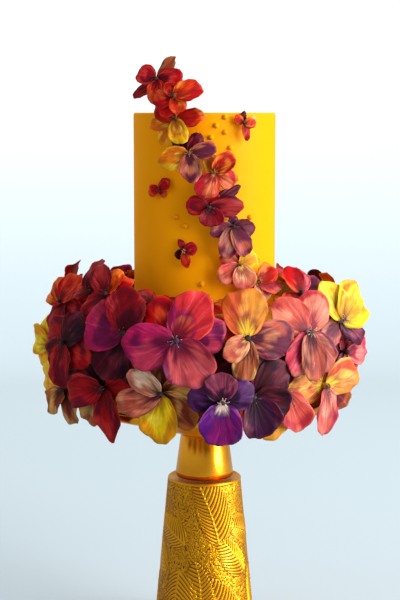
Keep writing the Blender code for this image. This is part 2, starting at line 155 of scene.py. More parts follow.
def smooth(low: float, high: float, value: np.ndarray) -> np.ndarray:
    """Ease from 0 at low to 1 at high.

    Args:
        low: where the ramp starts.
        high: where it ends.
        value: numbers to map.

    Returns:
        The eased numbers.
    """
    part = np.clip((value - low) / (high - low), 0, 1)
    return part * part * (3 - 2 * part)


def blend(first: np.ndarray, second: np.ndarray, mask: np.ndarray) -> np.ndarray:
    """Mix two colour arrays by a mask, as first * (1 - mask) + second * mask."""
    return first * (1 - mask[..., None]) + second * mask[..., None]


def waves(across: np.ndarray, kinds: Sequence[tuple[float, float]], phases: Sequence[object]) -> np.ndarray:
    """Add up sine waves across a petal.

    Args:
        across: place across it, -1 to 1.
        kinds: count and strength of each wave.
        phases: phase of each wave, one number or one for each place.

    Returns:
        The sum at each place.
    """
    return sum(strength * np.sin(count * across + phase) for (count, strength), phase in zip(kinds, phases))


def outward(azimuth: float) -> Vector:
    """Return the unit vector away from the cake's axis at an azimuth."""
    angle = math.radians(azimuth)
    return Vector((math.sin(angle), -math.cos(angle), 0))


def node_corners(node: str) -> np.ndarray:
    """Corners of a CAD node, n by 3, in metres."""
    mesh = frame["nodes"][node].data
    corners = np.empty(len(mesh.vertices) * 3)
    mesh.vertices.foreach_get("co", corners)
    return corners.reshape(-1, 3)


@dataclass(frozen=True)
class PetalPaint:
    """How one petal is dusted: its patches, its pale tone with painted sheen, its veins, its rim and its throat."""
    body: Colour
    flush: Colour
    pale_tone_and_sheen: Colour
    vein: Colour
    rim: Colour
    throat: Colour
    throat_reach: float = 0.10


def dusted(body: Colour, flush: Colour, pale_tone_and_sheen: Colour, throat: Colour | None = None,
           throat_reach: float = 0.10) -> PetalPaint:
    """Mix a paint whose veins are a deep shade of its body and whose rim is mostly its pale tone, mixed with some of
    its body.

    Args:
        body: its main colour.
        flush: the colour of its patches.
        pale_tone_and_sheen: the lighter colour that is brushed over its middle, partly paint and partly painted sheen.
        throat: the colour at its root, where it isn't that of the veins.
        throat_reach: how far along the petal the throat reaches.

    Returns:
        The paint.
    """
    vein = tuple(0.16 * b + 0.10 * f for b, f in zip(body, flush))
    rim = tuple(0.35 * b + 0.65 * g for b, g in zip(body, pale_tone_and_sheen))
    return PetalPaint(body, flush, pale_tone_and_sheen, vein, rim, throat or vein, throat_reach)


class Paint(Enum):
    """The dusted colours of the petals."""
    CRIMSON = dusted(srgb(168, 4, 18), srgb(104, 2, 30), srgb(216, 50, 44))
    DARK_CRIMSON = dusted(srgb(132, 5, 22), srgb(74, 2, 26), srgb(182, 44, 44))
    RED = dusted(srgb(198, 5, 14), srgb(150, 2, 18), srgb(248, 90, 40))
    POPPY = dusted(srgb(218, 56, 44), srgb(168, 10, 30), srgb(252, 140, 90), srgb(250, 190, 90))
    SCARLET = dusted(srgb(226, 52, 14), srgb(182, 10, 12), srgb(254, 144, 40), srgb(244, 180, 60))
    ORANGE = dusted(srgb(230, 88, 8), srgb(196, 34, 12), srgb(255, 190, 64), srgb(120, 20, 20), 0.2)
    AMBER = dusted(srgb(244, 150, 10), srgb(206, 74, 14), srgb(255, 208, 96), srgb(110, 30, 20), 0.2)
    YELLOW = dusted(srgb(246, 202, 8), srgb(236, 152, 8), srgb(255, 230, 70), srgb(190, 80, 20), 0.16)
    GOLDEN = dusted(srgb(248, 178, 14), srgb(222, 104, 16), srgb(255, 214, 66), srgb(130, 40, 24), 0.16)
    OLIVE = dusted(srgb(164, 80, 42), srgb(104, 22, 32), srgb(206, 164, 92), srgb(40, 8, 14), 0.3)
    BROWN = dusted(srgb(190, 104, 38), srgb(128, 40, 34), srgb(238, 182, 96), srgb(44, 10, 16), 0.3)
    MAROON = dusted(srgb(62, 2, 8), srgb(34, 2, 14), srgb(112, 22, 26))
    PLUM = dusted(srgb(68, 4, 22), srgb(38, 2, 26), srgb(118, 28, 50))
    PURPLE = dusted(srgb(84, 14, 50), srgb(50, 6, 46), srgb(150, 60, 84))
    VIOLET = dusted(srgb(50, 8, 56), srgb(28, 4, 38), srgb(96, 44, 104))
    BRIGHT_VIOLET = dusted(srgb(88, 14, 112), srgb(116, 10, 90), srgb(146, 84, 144), srgb(236, 206, 190), 0.26)
    EMBER = dusted(srgb(206, 40, 46), srgb(146, 12, 72), srgb(246, 116, 62))
    MAGENTA = dusted(srgb(172, 18, 78), srgb(104, 8, 64), srgb(208, 58, 84), srgb(90, 40, 70), 0.16)
    PINK = dusted(srgb(208, 58, 82), srgb(160, 18, 58), srgb(250, 144, 132))
    CORAL = dusted(srgb(218, 82, 66), srgb(186, 38, 56), srgb(246, 150, 116), srgb(120, 60, 84), 0.2)
    SALMON = dusted(srgb(224, 108, 94), srgb(178, 50, 76), srgb(250, 180, 156), srgb(130, 70, 100), 0.2)
    ROSE = dusted(srgb(164, 32, 62), srgb(104, 12, 60), srgb(212, 88, 86), srgb(90, 30, 60), 0.2)
    MAUVE = dusted(srgb(186, 92, 78), srgb(118, 34, 66), srgb(214, 138, 112), srgb(90, 24, 50), 0.2)
    PEACH = dusted(srgb(214, 120, 82), srgb(190, 66, 62), srgb(250, 186, 126), srgb(250, 200, 90), 0.2)
    CREAM = dusted(srgb(206, 146, 110), srgb(168, 84, 70), srgb(248, 226, 196), srgb(80, 26, 40), 0.2)
    SUNNY_PEACH = dusted(srgb(228, 142, 60), srgb(206, 78, 50), srgb(250, 208, 90), srgb(250, 206, 60), 0.3)
    SUNSET = dusted(srgb(200, 76, 18), srgb(150, 14, 48), srgb(242, 164, 60), srgb(250, 196, 50), 0.34)
    DUSK = dusted(srgb(184, 80, 62), srgb(98, 22, 56), srgb(220, 136, 96), srgb(70, 14, 44), 0.3)


@dataclass(frozen=True)
class Heart:
    """The middle of a flower: its button, the ring round it, and its fine stamens."""
    button: Colour
    ring: Colour
    thread: Colour
    anther: Colour
    stamens: int = 7


class HeartStyle(Enum):
    """The kinds of flower middle."""
    DARK = Heart(srgb(26, 6, 16), srgb(46, 10, 26), srgb(96, 26, 38), srgb(150, 84, 60), 5)
    LILAC = Heart(srgb(24, 8, 20), srgb(92, 66, 88), srgb(120, 84, 110), srgb(190, 168, 164), 6)
    GOLD = Heart(srgb(84, 36, 14), srgb(206, 142, 40), srgb(206, 140, 44), srgb(236, 190, 90), 5)
    CREAM = Heart(srgb(52, 20, 30), srgb(208, 180, 176), srgb(226, 204, 176), srgb(240, 222, 170), 7)


class Petal(NamedTuple):
    """One petal in millimetres: clock angle, length, width, paint, lift, sharpness of its tip and extra length."""
    clock: float
    length: float
    width: float
    paint: Paint
    lift: float = 6.0
    point: float = 0.0
    beyond: float = 0.0               # closes a see-through chink beside it


class Flower(NamedTuple):
    """One flower: its node, where its middle is, which way it faces, its middle and its petals."""
    name: str
    azimuth: float
    height: float
    radius: float
    turn: float
    tip: float
    heart: HeartStyle
    petals: tuple[Petal, ...]


P = Paint
H = HeartStyle

# The same flowers as the solids, in the same order, each petal with its paint
LOWER_ROW = (
    # ring_shade, ring_dusk_left and ring_dusk_right are dark fillers set close to the tier: painted shade, dark flowers
    # where there is only shade between the front flowers
    Flower("ring_shade", 3, 352, 110, 0, 4, H.DARK, (
        Petal(40, 36, 34, P.MAROON), Petal(110, 38, 36, P.PLUM), Petal(180, 34, 34, P.MAROON),
        Petal(250, 38, 36, P.PLUM), Petal(320, 36, 34, P.DARK_CRIMSON))),
    Flower("ring_dusk_left", -56, 336, 124, 10, 2, H.DARK, (
        Petal(60, 36, 34, P.MAROON), Petal(140, 38, 36, P.DARK_CRIMSON), Petal(215, 36, 34, P.MAROON),
        Petal(300, 38, 34, P.PLUM))),
    Flower("ring_dusk_right", 70, 322, 122, 16, 2, H.DARK, (
        Petal(30, 36, 34, P.VIOLET), Petal(110, 38, 36, P.PURPLE), Petal(190, 36, 34, P.VIOLET),
        Petal(280, 38, 34, P.PLUM))),
    Flower("ring_brown", -67, 302, 156, 16, -6, H.DARK, (
        Petal(28, 50, 44, P.CRIMSON), Petal(80, 48, 42, P.DARK_CRIMSON), Petal(170, 40, 34, P.OLIVE),
        Petal(-70, 44, 32, P.GOLDEN), Petal(-128, 46, 28, P.BROWN, 4))),
    Flower("ring_crimson", -42, 312, 150, 12, -2, H.DARK, (
        Petal(345, 50, 50, P.PLUM), Petal(82, 44, 36, P.RED), Petal(217, 50, 33, P.OLIVE, 2),
        Petal(172, 50, 32, P.CRIMSON, 4, 0.15), Petal(262, 46, 36, P.CRIMSON))),
    Flower("ring_sunset", 52, 312, 154, -16, -4, H.GOLD, (
        Petal(350, 42, 38, P.SUNNY_PEACH), Petal(262, 36, 34, P.SUNNY_PEACH), Petal(122, 44, 34, P.OLIVE),
        Petal(70, 46, 40, P.SUNNY_PEACH), Petal(176, 54, 28, P.SALMON, 4))),
    # painted shade: ring_marigold's maroon petal at 350 stands for shaded petals in the gap above it
    Flower("ring_marigold", 32, 314, 148, -10, 0, H.GOLD, (
        Petal(60, 38, 36, P.SUNNY_PEACH), Petal(350, 46, 36, P.MAROON), Petal(300, 44, 32, P.SUNSET),
        Petal(196, 54, 36, P.ORANGE, 2), Petal(156, 50, 36, P.CORAL))),
    Flower("ring_night", 18, 310, 146, -4, -2, H.DARK, (
        Petal(322, 46, 40, P.PLUM), Petal(8, 52, 42, P.PLUM), Petal(50, 48, 40, P.PLUM),
        Petal(112, 42, 40, P.PLUM), Petal(160, 46, 42, P.PURPLE))),
    Flower("ring_honey", -17, 312, 146, 8, -2, H.DARK, (
        Petal(14, 44, 34, P.OLIVE), Petal(84, 38, 34, P.BROWN), Petal(132, 48, 32, P.BROWN),
        Petal(186, 54, 40, P.YELLOW, 2), Petal(252, 48, 31, P.DUSK), Petal(314, 40, 24, P.CREAM, 20))),
    Flower("ring_violet", 6, 308, 150, 2, -4, H.CREAM, (
        Petal(286, 36, 34, P.VIOLET), Petal(70, 34, 34, P.VIOLET), Petal(352, 32, 34, P.PURPLE, 14),
        Petal(184, 46, 46, P.BRIGHT_VIOLET, 4))),
)

CROWN = (
    Flower("crown_front_left", -28, 394, 112, 0, 72, H.DARK, (
        Petal(20, 34, 30, P.CRIMSON), Petal(110, 34, 30, P.RED), Petal(200, 36, 32, P.DARK_CRIMSON),
        Petal(290, 34, 30, P.CRIMSON))),
    Flower("crown_front", 2, 394, 112, 0, 74, H.GOLD, (
        Petal(50, 34, 30, P.ORANGE), Petal(130, 34, 30, P.SCARLET), Petal(225, 36, 32, P.ORANGE),
        Petal(310, 34, 30, P.AMBER))),
    Flower("crown_right", 88, 402, 110, -8, 54, H.LILAC, (
        Petal(0, 38, 34, P.MAGENTA), Petal(95, 40, 34, P.PINK), Petal(180, 40, 36, P.MAGENTA),
        Petal(270, 40, 34, P.PURPLE))),
    Flower("crown_far_right", 122, 400, 110, 6, 58, H.GOLD, (
        Petal(40, 38, 34, P.YELLOW), Petal(130, 40, 34, P.GOLDEN), Petal(220, 40, 36, P.YELLOW),
        Petal(315, 38, 34, P.SUNNY_PEACH))),
    Flower("crown_far", 157, 402, 110, -6, 52, H.CREAM, (
        Petal(10, 38, 34, P.CORAL), Petal(100, 40, 34, P.SALMON), Petal(190, 40, 36, P.CORAL),
        Petal(280, 38, 34, P.PINK))),
    Flower("crown_far_left", 193, 400, 110, 8, 56, H.DARK, (
        Petal(30, 38, 34, P.PLUM), Petal(125, 40, 34, P.PURPLE), Petal(215, 40, 36, P.PLUM),
        Petal(305, 38, 34, P.DARK_CRIMSON))),
    Flower("crown_left", 230, 402, 110, -4, 54, H.GOLD, (
        Petal(5, 38, 34, P.ORANGE), Petal(95, 40, 34, P.SUNSET), Petal(185, 40, 36, P.ORANGE),
        Petal(275, 38, 34, P.SCARLET))),
)

UPPER_ROW = (
    Flower("ring_red_back", 56, 401, 118, -26, 34, H.DARK, (
        Petal(120, 32, 26, P.CRIMSON), Petal(230, 32, 28, P.RED), Petal(66, 34, 26, P.PURPLE),
        Petal(20, 30, 22, P.PINK, 8), Petal(338, 32, 26, P.RED, 8))),
    Flower("ring_tip", -50, 402, 116, 22, 32, H.DARK, (
        Petal(235, 34, 28, P.CRIMSON), Petal(120, 30, 26, P.CRIMSON), Petal(52, 30, 24, P.RED, 6, 0.1),
        Petal(12, 30, 24, P.ORANGE), Petal(330, 34, 26, P.DARK_CRIMSON, 6, 0.15))),
    Flower("ring_garnet", -72, 398, 124, 26, 34, H.DARK, (
        Petal(200, 36, 32, P.DARK_CRIMSON), Petal(276, 34, 28, P.RED), Petal(104, 34, 30, P.CRIMSON),
        Petal(40, 34, 28, P.CRIMSON), Petal(346, 38, 28, P.DARK_CRIMSON, 4, 0.12))),
    Flower("ring_flame", -80, 388, 152, 34, 20, H.DARK, (
        Petal(120, 34, 30, P.CRIMSON), Petal(200, 36, 30, P.CRIMSON), Petal(286, 30, 22, P.SCARLET),
        Petal(330, 30, 24, P.SCARLET), Petal(36, 38, 30, P.RED))),
    Flower("ring_lemon_side", -90, 338, 156, 36, 4, H.GOLD, (
        Petal(60, 36, 32, P.YELLOW), Petal(150, 36, 32, P.YELLOW), Petal(220, 36, 32, P.GOLDEN),
        Petal(340, 34, 30, P.YELLOW), Petal(280, 38, 34, P.YELLOW))),
    Flower("ring_wine", -62, 352, 160, 18, 8, H.DARK, (
        Petal(300, 40, 36, P.CRIMSON), Petal(232, 38, 34, P.DARK_CRIMSON), Petal(112, 42, 36, P.CRIMSON),
        Petal(40, 40, 36, P.PLUM), Petal(176, 42, 36, P.CRIMSON, beyond=5.0))),
    Flower("ring_lemon", 69, 372, 152, -34, 16, H.CREAM, (
        Petal(226, 32, 28, P.MAUVE), Petal(126, 38, 27, P.PURPLE), Petal(80, 40, 28, P.YELLOW, 8),
        Petal(340, 46, 36, P.YELLOW), Petal(27, 46, 36, P.GOLDEN))),
    Flower("ring_berry", 73, 338, 149, -20, 0, H.DARK, (
        Petal(270, 36, 30, P.PLUM), Petal(20, 38, 30, P.PINK), Petal(196, 42, 28, P.PURPLE),
        Petal(150, 40, 30, P.CORAL), Petal(94, 42, 30, P.PINK))),
    Flower("ring_amber", 16, 368, 148, -6, 10, H.DARK, (
        Petal(302, 40, 28, P.SCARLET), Petal(94, 50, 42, P.DUSK, 6), Petal(356, 52, 46, P.SUNSET, 8),
        Petal(188, 46, 26, P.OLIVE), Petal(232, 32, 24, P.PEACH, 16))),
    Flower("ring_salmon", 41, 370, 156, -18, 10, H.CREAM, (
        Petal(24, 45, 40, P.CORAL), Petal(316, 46, 40, P.CORAL), Petal(146, 46, 33, P.MAUVE),
        Petal(207, 48, 32, P.PINK), Petal(178, 50, 30, P.DUSK, 6))),
    Flower("ring_plum", -31, 370, 152, 12, 12, H.DARK, (
        Petal(80, 40, 34, P.MAROON), Petal(168, 50, 38, P.MAROON, 4), Petal(205, 54, 40, P.PLUM, 4),
        Petal(284, 46, 52, P.MAGENTA, 6), Petal(6, 46, 46, P.DARK_CRIMSON, 10))),
    Flower("ring_magenta", -10, 367, 158, 4, 10, H.LILAC, (
        Petal(330, 48, 40, P.RED), Petal(80, 52, 38, P.MAGENTA, 6), Petal(31, 54, 48, P.EMBER, 6),
        Petal(257, 55, 48, P.MAGENTA, 6), Petal(149, 52, 52, P.ROSE, 6))),
)

CASCADE = (
    Flower("cascade_orange", -19, 583, 85, 0, 6, H.DARK, (
        Petal(216, 32, 22, P.GOLDEN, 4), Petal(262, 31, 19, P.GOLDEN, 4), Petal(84, 30, 20, P.SCARLET),
        Petal(304, 26, 24, P.SCARLET), Petal(160, 28, 22, P.GOLDEN, 14))),
    Flower("cascade_scarlet", -20, 605, 81, 14, 16, H.DARK, (
        Petal(210, 22, 18, P.RED), Petal(262, 22, 20, P.RED), Petal(340, 16, 14, P.RED, 20),
        Petal(150, 20, 18, P.SCARLET), Petal(72, 31, 24, P.SCARLET))),
    Flower("cascade_crimson", -34, 623, 80, 16, 12, H.DARK, (
        Petal(238, 29, 14, P.DARK_CRIMSON, 4, 0.2), Petal(34, 30, 14, P.OLIVE, 6), Petal(82, 27, 21, P.CRIMSON),
        Petal(176, 28, 22, P.RED, 4), Petal(288, 20, 22, P.CRIMSON, 18))),
    Flower("cascade_dusk", -10, 549, 85, 4, 4, H.GOLD, (
        Petal(320, 24, 18, P.MAROON), Petal(30, 24, 16, P.DARK_CRIMSON), Petal(80, 29, 18, P.DUSK),
        Petal(252, 32, 25, P.GOLDEN, 4), Petal(172, 30, 24, P.DUSK))),
    Flower("cascade_red", 3, 494, 85, 0, 4, H.DARK, (
        Petal(56, 36, 14, P.PLUM, 4, 0.1), Petal(18, 18, 18, P.RED), Petal(277, 25, 20, P.CRIMSON),
        Petal(88, 35, 24, P.DARK_CRIMSON, 4), Petal(168, 21, 26, P.DARK_CRIMSON))),
    Flower("cascade_coral", 6, 529, 88, -2, 4, H.GOLD, (
        Petal(345, 24, 17, P.AMBER), Petal(114, 26, 20, P.POPPY, 8), Petal(206, 29, 26, P.POPPY),
        Petal(45, 27, 22, P.SCARLET, 12))),
    Flower("cascade_cream", 24, 434, 85, -8, 6, H.GOLD, (
        Petal(10, 16, 16, P.POPPY), Petal(296, 21, 16, P.POPPY), Petal(66, 23, 19, P.YELLOW),
        Petal(236, 28, 22, P.CORAL), Petal(164, 27, 26, P.PEACH, 6))),
    Flower("cascade_violet", 19, 474, 86, -6, 4, H.DARK, (
        Petal(20, 12, 12, P.PURPLE), Petal(98, 25, 20, P.PLUM), Petal(256, 24, 19, P.MAUVE),
        Petal(197, 34, 22, P.MAUVE, 6), Petal(152, 34, 21, P.DUSK, 6))),
    Flower("cascade_ember", 37, 414, 90, -16, 26, H.GOLD, (
        Petal(242, 22, 20, P.PEACH), Petal(318, 18, 16, P.YELLOW), Petal(164, 22, 20, P.PEACH),
        Petal(108, 26, 20, P.CORAL), Petal(52, 26, 22, P.SCARLET))),
    Flower("blossom_crimson", -35, 511, 79, 10, 0, H.DARK, (
        Petal(150, 9, 8, P.RED), Petal(262, 15, 13, P.RED), Petal(50, 16, 13, P.RED))),
    Flower("blossom_ring", -15, 449, 79, 6, 0, H.CREAM, (
        Petal(332, 13, 8, P.CRIMSON), Petal(228, 12, 11, P.MAROON), Petal(170, 18, 11, P.SCARLET),
        Petal(74, 15, 14, P.CRIMSON))),
    Flower("blossom_orange", 29, 579, 80, -10, 0, H.DARK, (
        Petal(10, 13, 7, P.MAROON), Petal(118, 11, 7, P.PINK), Petal(306, 12, 10, P.SCARLET),
        Petal(168, 18, 9, P.RED), Petal(76, 14, 13, P.ORANGE))),
)

# The far side of the ring: two staggered rows, each with its height, radius, tip, first azimuth and spacing
BACK_ROWS = ((312, 144, -3, 92, 29), (370, 152, 12, 104, 24))
BACK_COUNT = 7
BACK_SEED = 11
BACK_PAINTS = ((P.MAGENTA, P.PINK, H.LILAC), (P.YELLOW, P.GOLDEN, H.GOLD), (P.CORAL, P.SALMON, H.CREAM),
               (P.CRIMSON, P.RED, H.DARK), (P.VIOLET, P.BRIGHT_VIOLET, H.CREAM), (P.PEACH, P.SUNNY_PEACH, H.GOLD),
               (P.RED, P.SCARLET, H.DARK), (P.ROSE, P.MAUVE, H.CREAM), (P.PLUM, P.PURPLE, H.DARK),
               (P.ORANGE, P.SUNSET, H.GOLD))


def back_flowers() -> list[Flower]:
    """Draw the flowers of the far side with the same draws as their solids.

    Returns:
        The flowers of both rows.
    """
    draw = random.Random(BACK_SEED)
    flowers = []
    for row, (height, radius, tip, first_azimuth, spacing) in enumerate(BACK_ROWS):
        for number in range(BACK_COUNT):
            count = draw.choice((4, 4, 5))
            first = draw.uniform(0, 360)
            main_paint, second_paint, heart = BACK_PAINTS[(3 * number + 5 * row) % len(BACK_PAINTS)]
            petals = tuple(
                Petal(first + 360 / count * i + draw.uniform(-8, 8), draw.uniform(42, 52), draw.uniform(36, 48),
                      main_paint if i % 2 == 0 else second_paint, draw.uniform(3, 9)) for i in range(count))
            flowers.append(Flower(f"ring_far_{row + 1}_{number + 1}", first_azimuth + spacing * number,
                                  height + draw.uniform(-8, 8), radius, draw.uniform(-10, 10),
                                  tip + draw.uniform(-6, 8), heart, petals))
    return flowers


class MeshBuilder:
    """Collects points, faces and painted values, and turns them into one mesh object."""

    def __init__(self) -> None:
        """Start empty."""
        self.points: list[np.ndarray] = []
        self.faces: list[np.ndarray] = []
        self.paint: list[np.ndarray] = []
        self.vein: list[np.ndarray] = []
        self.place: list[np.ndarray] = []
        self.material: list[np.ndarray] = []
        self.count = 0

    def add(self, points: np.ndarray, faces: np.ndarray, paint: np.ndarray | float = 1.0,
            vein: np.ndarray | float = 1.0, place: np.ndarray | float = 0.0, material: int = 0) -> None:
        """Add one shape.

        Args:
            points: its corners, n by 3, in metres.
            faces: its quads, m by 4, where a triangle repeats its last corner.
            paint: a colour for each corner, or one for all.
            vein: a vein colour for each corner, or one for all.
            place: across, along and seed of each corner, or on the sleeve the count, share and rib of its leaves.
            material: index of its material.
        """
        total = len(points)
        self.points.append(points)
        self.faces.append(faces + self.count)
        self.paint.append(np.broadcast_to(paint, (total, 3)))
        self.vein.append(np.broadcast_to(vein, (total, 3)))
        self.place.append(np.broadcast_to(place, (total, 3)))
        self.material.append(np.full(len(faces), material))
        self.count += total

    def build(self, name: str, materials: Sequence[bpy.types.Material]) -> bpy.types.Object:
        """Make the object.

        Args:
            name: name of the piece.
            materials: its materials in the order of their indices.

        Returns:
            The new object, linked to the scene.
        """
        points = np.concatenate(self.points)
        quads = np.concatenate(self.faces)
        indices = np.concatenate(self.material)
        faces = [tuple(q[:3]) if q[2] == q[3] else tuple(q) for q in quads.tolist()]
        mesh = bpy.data.meshes.new(name)
        mesh.from_pydata(points.tolist(), [], faces)
        for finish in materials:
            mesh.materials.append(finish)
        mesh.polygons.foreach_set("material_index", indices.astype(np.int32))
        mesh.polygons.foreach_set("use_smooth", np.ones(len(faces), dtype=bool))
        for label, values in (("paint", self.paint), ("vein", self.vein)):
            layer = mesh.color_attributes.new(label, "FLOAT_COLOR", "POINT")
            colours = np.ones((self.count, 4), dtype=np.float32)
            colours[:, :3] = np.concatenate(values)
            layer.data.foreach_set("color", colours.ravel())
        layer = mesh.attributes.new("place", "FLOAT_VECTOR", "POINT")
        layer.data.foreach_set("vector", np.concatenate(self.place).astype(np.float32).ravel())
        mesh.update()
        piece = bpy.data.objects.new(name, mesh)
        bpy.context.scene.collection.objects.link(piece)
        return piece


def grid_faces(rows: int, columns: int, wrap: bool = False) -> np.ndarray:
    """Quads of a grid of rows by columns of corners.

    Args:
        rows: corners along the grid.
        columns: corners across it.
        wrap: join the last column to the first.

    Returns:
        The quads, turned so that they face the side from which columns run left to right and rows upwards.
    """
    across = columns if wrap else columns - 1
    row, column = np.mgrid[0:rows - 1, 0:across]
    here = row * columns + column
    right = row * columns + (column + 1) % columns
    return np.stack([here, right, right + columns, here + columns], axis=-1).reshape(-1, 4)


def ring_corners(radii: np.ndarray, heights: np.ndarray, turns: np.ndarray) -> np.ndarray:
    """Corners of rings round the Z axis.

    Args:
        radii: their radii, rings by 1 or rings by turns.
        heights: their heights, rings by 1.
        turns: angles round them.

    Returns:
        The corners, rings by turns by 3.
    """
    return np.stack(np.broadcast_arrays(radii * np.cos(turns), radii * np.sin(turns), heights), axis=-1)


def close_ends(rings: np.ndarray, ends: Sequence[Sequence[float]], sides: int) -> tuple[np.ndarray, np.ndarray]:
    """Join a stack of rings into a skin and close both ends.

    Args:
        rings: corners of all rings from the first to the last, n by 3.
        ends: middle of the first end and of the last one.
        sides: corners in a ring.

    Returns:
        Corners and quads of a closed shape, where a triangle repeats its last corner.
    """
    low, high, last = len(rings), len(rings) + 1, len(rings) - sides
    side = np.arange(sides)
    after = (side + 1) % sides
    caps = [np.stack([after, side, np.full(sides, low), np.full(sides, low)], axis=-1),
            np.stack([last + side, last + after, np.full(sides, high), np.full(sides, high)], axis=-1)]
    return np.concatenate([rings, ends]), np.concatenate([grid_faces(len(rings) // sides, sides, True)] + caps)


def turned_shape(profile: Sequence[tuple[float, float]], steps: int) -> tuple[np.ndarray, np.ndarray]:
    """Turn a profile of (radius, height) round the Z axis.

    Args:
        profile: points from the bottom axis up the outside to the top axis; the ends lie on the axis.
        steps: number of sides.

    Returns:
        Corners and quads of a closed shape.
    """
    inner = np.array(profile[1:-1])
    turns = np.linspace(0, 2 * np.pi, steps, endpoint=False)
    rings = ring_corners(inner[:, :1], inner[:, 1:], turns).reshape(-1, 3)
    return close_ends(rings, [(0, 0, profile[0][1]), (0, 0, profile[-1][1])], steps)


def tube_shape(path: np.ndarray, radius: float, sides: int = 5) -> tuple[np.ndarray, np.ndarray]:
    """Thin closed tube along a path that never runs along its helper direction.

    Args:
        path: points along it, n by 3.
        radius: its radius.
        sides: number of sides.

    Returns:
        Corners and quads.
    """
    helper = (0.31, 0.17, 0.93)
    tangents = np.gradient(path, axis=0)
    tangents /= np.linalg.norm(tangents, axis=1, keepdims=True)
    first = np.cross(tangents, helper)
    first /= np.linalg.norm(first, axis=1, keepdims=True)
    second = np.cross(tangents, first)
    turns = np.linspace(0, 2 * np.pi, sides, endpoint=False)
    ring = first[:, None] * np.cos(turns)[None, :, None] + second[:, None] * np.sin(turns)[None, :, None]
    return close_ends((path[:, None] + radius * ring).reshape(-1, 3), [path[0], path[-1]], sides)


def ball_shape(middle: np.ndarray, radius: float, sides: int = 8, rings: int = 5) -> tuple[np.ndarray, np.ndarray]:
    """Small ball.

    Args:
        middle: its middle.
        radius: its radius.
        sides: sides round it.
        rings: rings of corners between its poles.

    Returns:
        Corners and quads.
    """
    angles = [math.pi * (i + 1) / (rings + 1) for i in range(rings)]
    profile = [(0, -radius)] + [(radius * math.sin(a), -radius * math.cos(a)) for a in angles] + [(0, radius)]
    points, faces = turned_shape(profile, sides)
    return points + middle, faces


class NodeTree:
    """Small helper that adds and links shader nodes in one tree."""

    def __init__(self, tree: bpy.types.NodeTree) -> None:
        """Work on a tree."""
        self.tree = tree

    def link(self, value: bpy.types.NodeSocket, socket: bpy.types.NodeSocket) -> None:
        """Link an output to an input."""
        self.tree.links.new(value, socket)

    def add(self, kind: str, inputs: dict | None = None, **settings: object) -> bpy.types.Node:
        """Add a node.

        Args:
            kind: Blender's node type.
            inputs: values or output sockets for its inputs, by name or index.
            settings: properties of the node.

        Returns:
            The node.
        """
        node = self.tree.nodes.new(kind)
        for key, value in settings.items():
            setattr(node, key, value)
        for key, value in (inputs or {}).items():
            if isinstance(value, bpy.types.NodeSocket):
                self.link(value, node.inputs[key])
            else:
                node.inputs[key].default_value = value
        return node

    def effect(self, group: bpy.types.NodeTree, inputs: dict | None = None) -> bpy.types.Node:
        """Place a shared group."""
        return self.add("ShaderNodeGroup", inputs, node_tree=group)

    def attribute(self, name: str, output: str = "Color") -> bpy.types.NodeSocket:
        """Read an attribute of the mesh."""
        return self.add("ShaderNodeAttribute", attribute_name=name).outputs[output]

    def noise(self, vector: object, scale: object, detail: float, roughness: float = 0.6) -> bpy.types.NodeSocket:
        """Add a Noise Texture node and return its value."""
        return self.add("ShaderNodeTexNoise", {"Vector": vector, "Scale": scale, "Detail": detail,
                                               "Roughness": roughness}).outputs["Fac"]

    def math(self, operation: str, first: object, second: object = 0.0) -> bpy.types.NodeSocket:
        """Add a Math node and return its output."""
        return self.add("ShaderNodeMath", {0: first, 1: second}, operation=operation).outputs[0]

    def weighted(self, first: object, first_share: float, second: object, second_share: float
                 ) -> bpy.types.NodeSocket:
        """Add two values, each times its share, and return the sum."""
        return self.math("ADD", self.math("MULTIPLY", first, first_share), self.math("MULTIPLY", second, second_share))

    def ramp(self, value: bpy.types.NodeSocket, low: float, high: float, bottom: float = 0.0,
             top: float = 1.0) -> bpy.types.NodeSocket:
        """Add a smooth Map Range node and return its output."""
        node = self.add("ShaderNodeMapRange", {"Value": value, "From Min": low, "From Max": high, "To Min": bottom,
                                               "To Max": top}, interpolation_type="SMOOTHSTEP")
        return node.outputs["Result"]

    def mix(self, mask: object, first: object, second: object, mode: str = "MIX") -> bpy.types.NodeSocket:
        """Mix two colours and return the result."""
        node = self.add("ShaderNodeMix", data_type="RGBA", blend_type=mode)
        for index, value in ((0, mask), (6, first), (7, second)):
            if isinstance(value, bpy.types.NodeSocket):
                self.link(value, node.inputs[index])
            elif index:
                node.inputs[index].default_value = (*value, 1)
            else:
                node.inputs[index].default_value = value
        return node.outputs[2]

    def shaded(self, colour: object, shade: bpy.types.NodeSocket) -> bpy.types.NodeSocket:
        """Multiply a colour by a shade that changes over the surface, and return the result."""
        grey = self.add("ShaderNodeCombineColor", {0: shade, 1: shade, 2: shade}).outputs[0]
        return self.mix(1.0, colour, grey, "MULTIPLY")

    def bump(self, shader: bpy.types.Node, strength: float, distance: float, height: bpy.types.NodeSocket) -> None:
        """Raise a shader's surface by a height, of at most a distance in metres."""
        node = self.add("ShaderNodeBump", {"Strength": strength, "Distance": distance, "Height": height})
        self.link(node.outputs[0], shader.inputs["Normal"])


